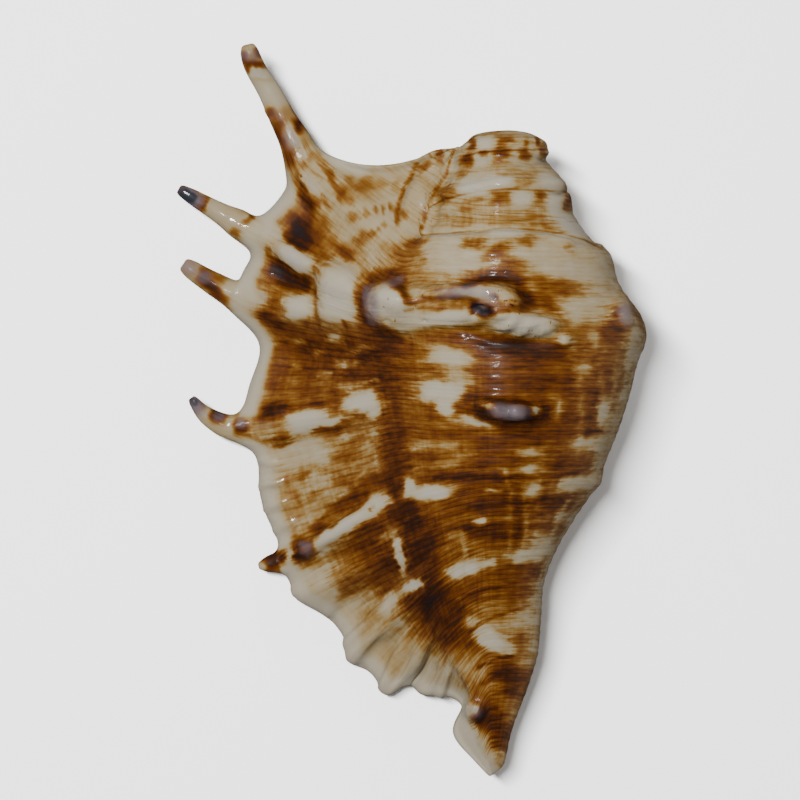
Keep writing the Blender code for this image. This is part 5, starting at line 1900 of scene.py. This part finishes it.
# %% [markdown]
# ## Fine relief and gloss
# What is finer than the mesh is a bump: the finest cords, growth steps, the ledges at the seams,
# pits, and lumps where the shell is worn. A clear coat gives the wet gloss of a cleaned shell. It
# comes and goes with the blotches, as a glaze that has been rubbed, and bends with the same bump,
# so that a glint breaks into dashes on the cords.

# %% Fine relief
LEDGE_HEIGHT, GROWTH_HEIGHT, STREAK_HEIGHT = 7.0, 0.5, 0.25
PIT_SCALE, PIT_HEIGHT = 1000.0, 1.1
LUMP_SCALE, LUMP_HEIGHT, PORE_HEIGHT = 430.0, 9.0, -3.0
# The heights above are in shares of this one.
BUMP_HEIGHT = 0.06 * MM
BUMP_STRENGTH = 0.55
height = sum_up("MULTIPLY_ADD", wave, -0.5, 0.5)
height = sum_up("MULTIPLY", height, add(open_share, 0.85, 0.15))
height = sum_up("MULTIPLY", height, mapped(blotch, -0.8, 0.8, 0.35, 1.0))
height = add(growth.outputs[0], GROWTH_HEIGHT, height)
height = sum_up("ADD", mapped(seam, -0.1, 0.8, 0.0, LEDGE_HEIGHT), height)
height = add(grain(where, PIT_SCALE, 2.0).outputs[0], PIT_HEIGHT, height)
lumps = grain(where, LUMP_SCALE, 4.0).outputs[0]
lumps = add(lumps, LUMP_HEIGHT, sum_up("MULTIPLY", pore, PORE_HEIGHT))
height = add(lumps, field("lumpy"), height)
height = add(short_streak, STREAK_HEIGHT, height)
bump = node("Bump")
bump.inputs["Strength"].default_value = BUMP_STRENGTH
bump.inputs["Distance"].default_value = BUMP_HEIGHT
tree.links.new(height, bump.inputs["Height"])
tree.links.new(bump.outputs[0], shader.inputs["Normal"])
tree.links.new(bump.outputs[0], shader.inputs["Coat Normal"])
print("bump:", round(BUMP_HEIGHT / MM, 3), "mm")

# %% Gloss
SHINE = 0.07
ROUGHNESS = (0.42, 0.6)
COAT_WEIGHT = (0.03, 0.55)
COAT_ROUGHNESS = 0.10
tree.links.new(mapped(blotch, -1.0, 1.0, *ROUGHNESS), shader.inputs["Roughness"])
shader.inputs["Specular IOR Level"].default_value = SHINE
wet = mapped(blotch, 0.0, 0.8, *COAT_WEIGHT)
wet = sum_up("MULTIPLY", wet, sum_up("SUBTRACT", 1.0, field("shaded_matte_side"), clamp=True))
tree.links.new(wet, shader.inputs["Coat Weight"])
shader.inputs["Coat Roughness"].default_value = COAT_ROUGHNESS
print("finish:", len(tree.nodes), "nodes")

# %% [markdown]
# ## The piece
# The drawn shell goes to its place in the frame, in metres, and stands for the plain solid.

# %% The piece
put_points(shell_mesh, (points_of(shell_mesh) + TO_FRAME) * MM)
shell_mesh.shade_smooth()
shell_mesh.materials.clear()
shell_mesh.materials.append(finish)
shell = bpy.data.objects.new("shell_detailed", shell_mesh)
bpy.context.scene.collection.objects.link(shell)
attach(shell, "root")
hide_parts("shell")
print("shell:", len(shell_mesh.polygons), "faces")

# %% [markdown]
# Last, the size of the finished shell is written beside the solid's, so that the two can be
# compared.

# %% Sizes
VISUAL_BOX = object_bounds()
sizes = {
    "cad": [list(corner) for corner in CAD_BOX],
    "visual": [list(corner) for corner in VISUAL_BOX],
}
for name, (low, high) in sizes.items():
    print(name, [round((b - a) / MM, 1) for a, b in zip(low, high)], "mm")
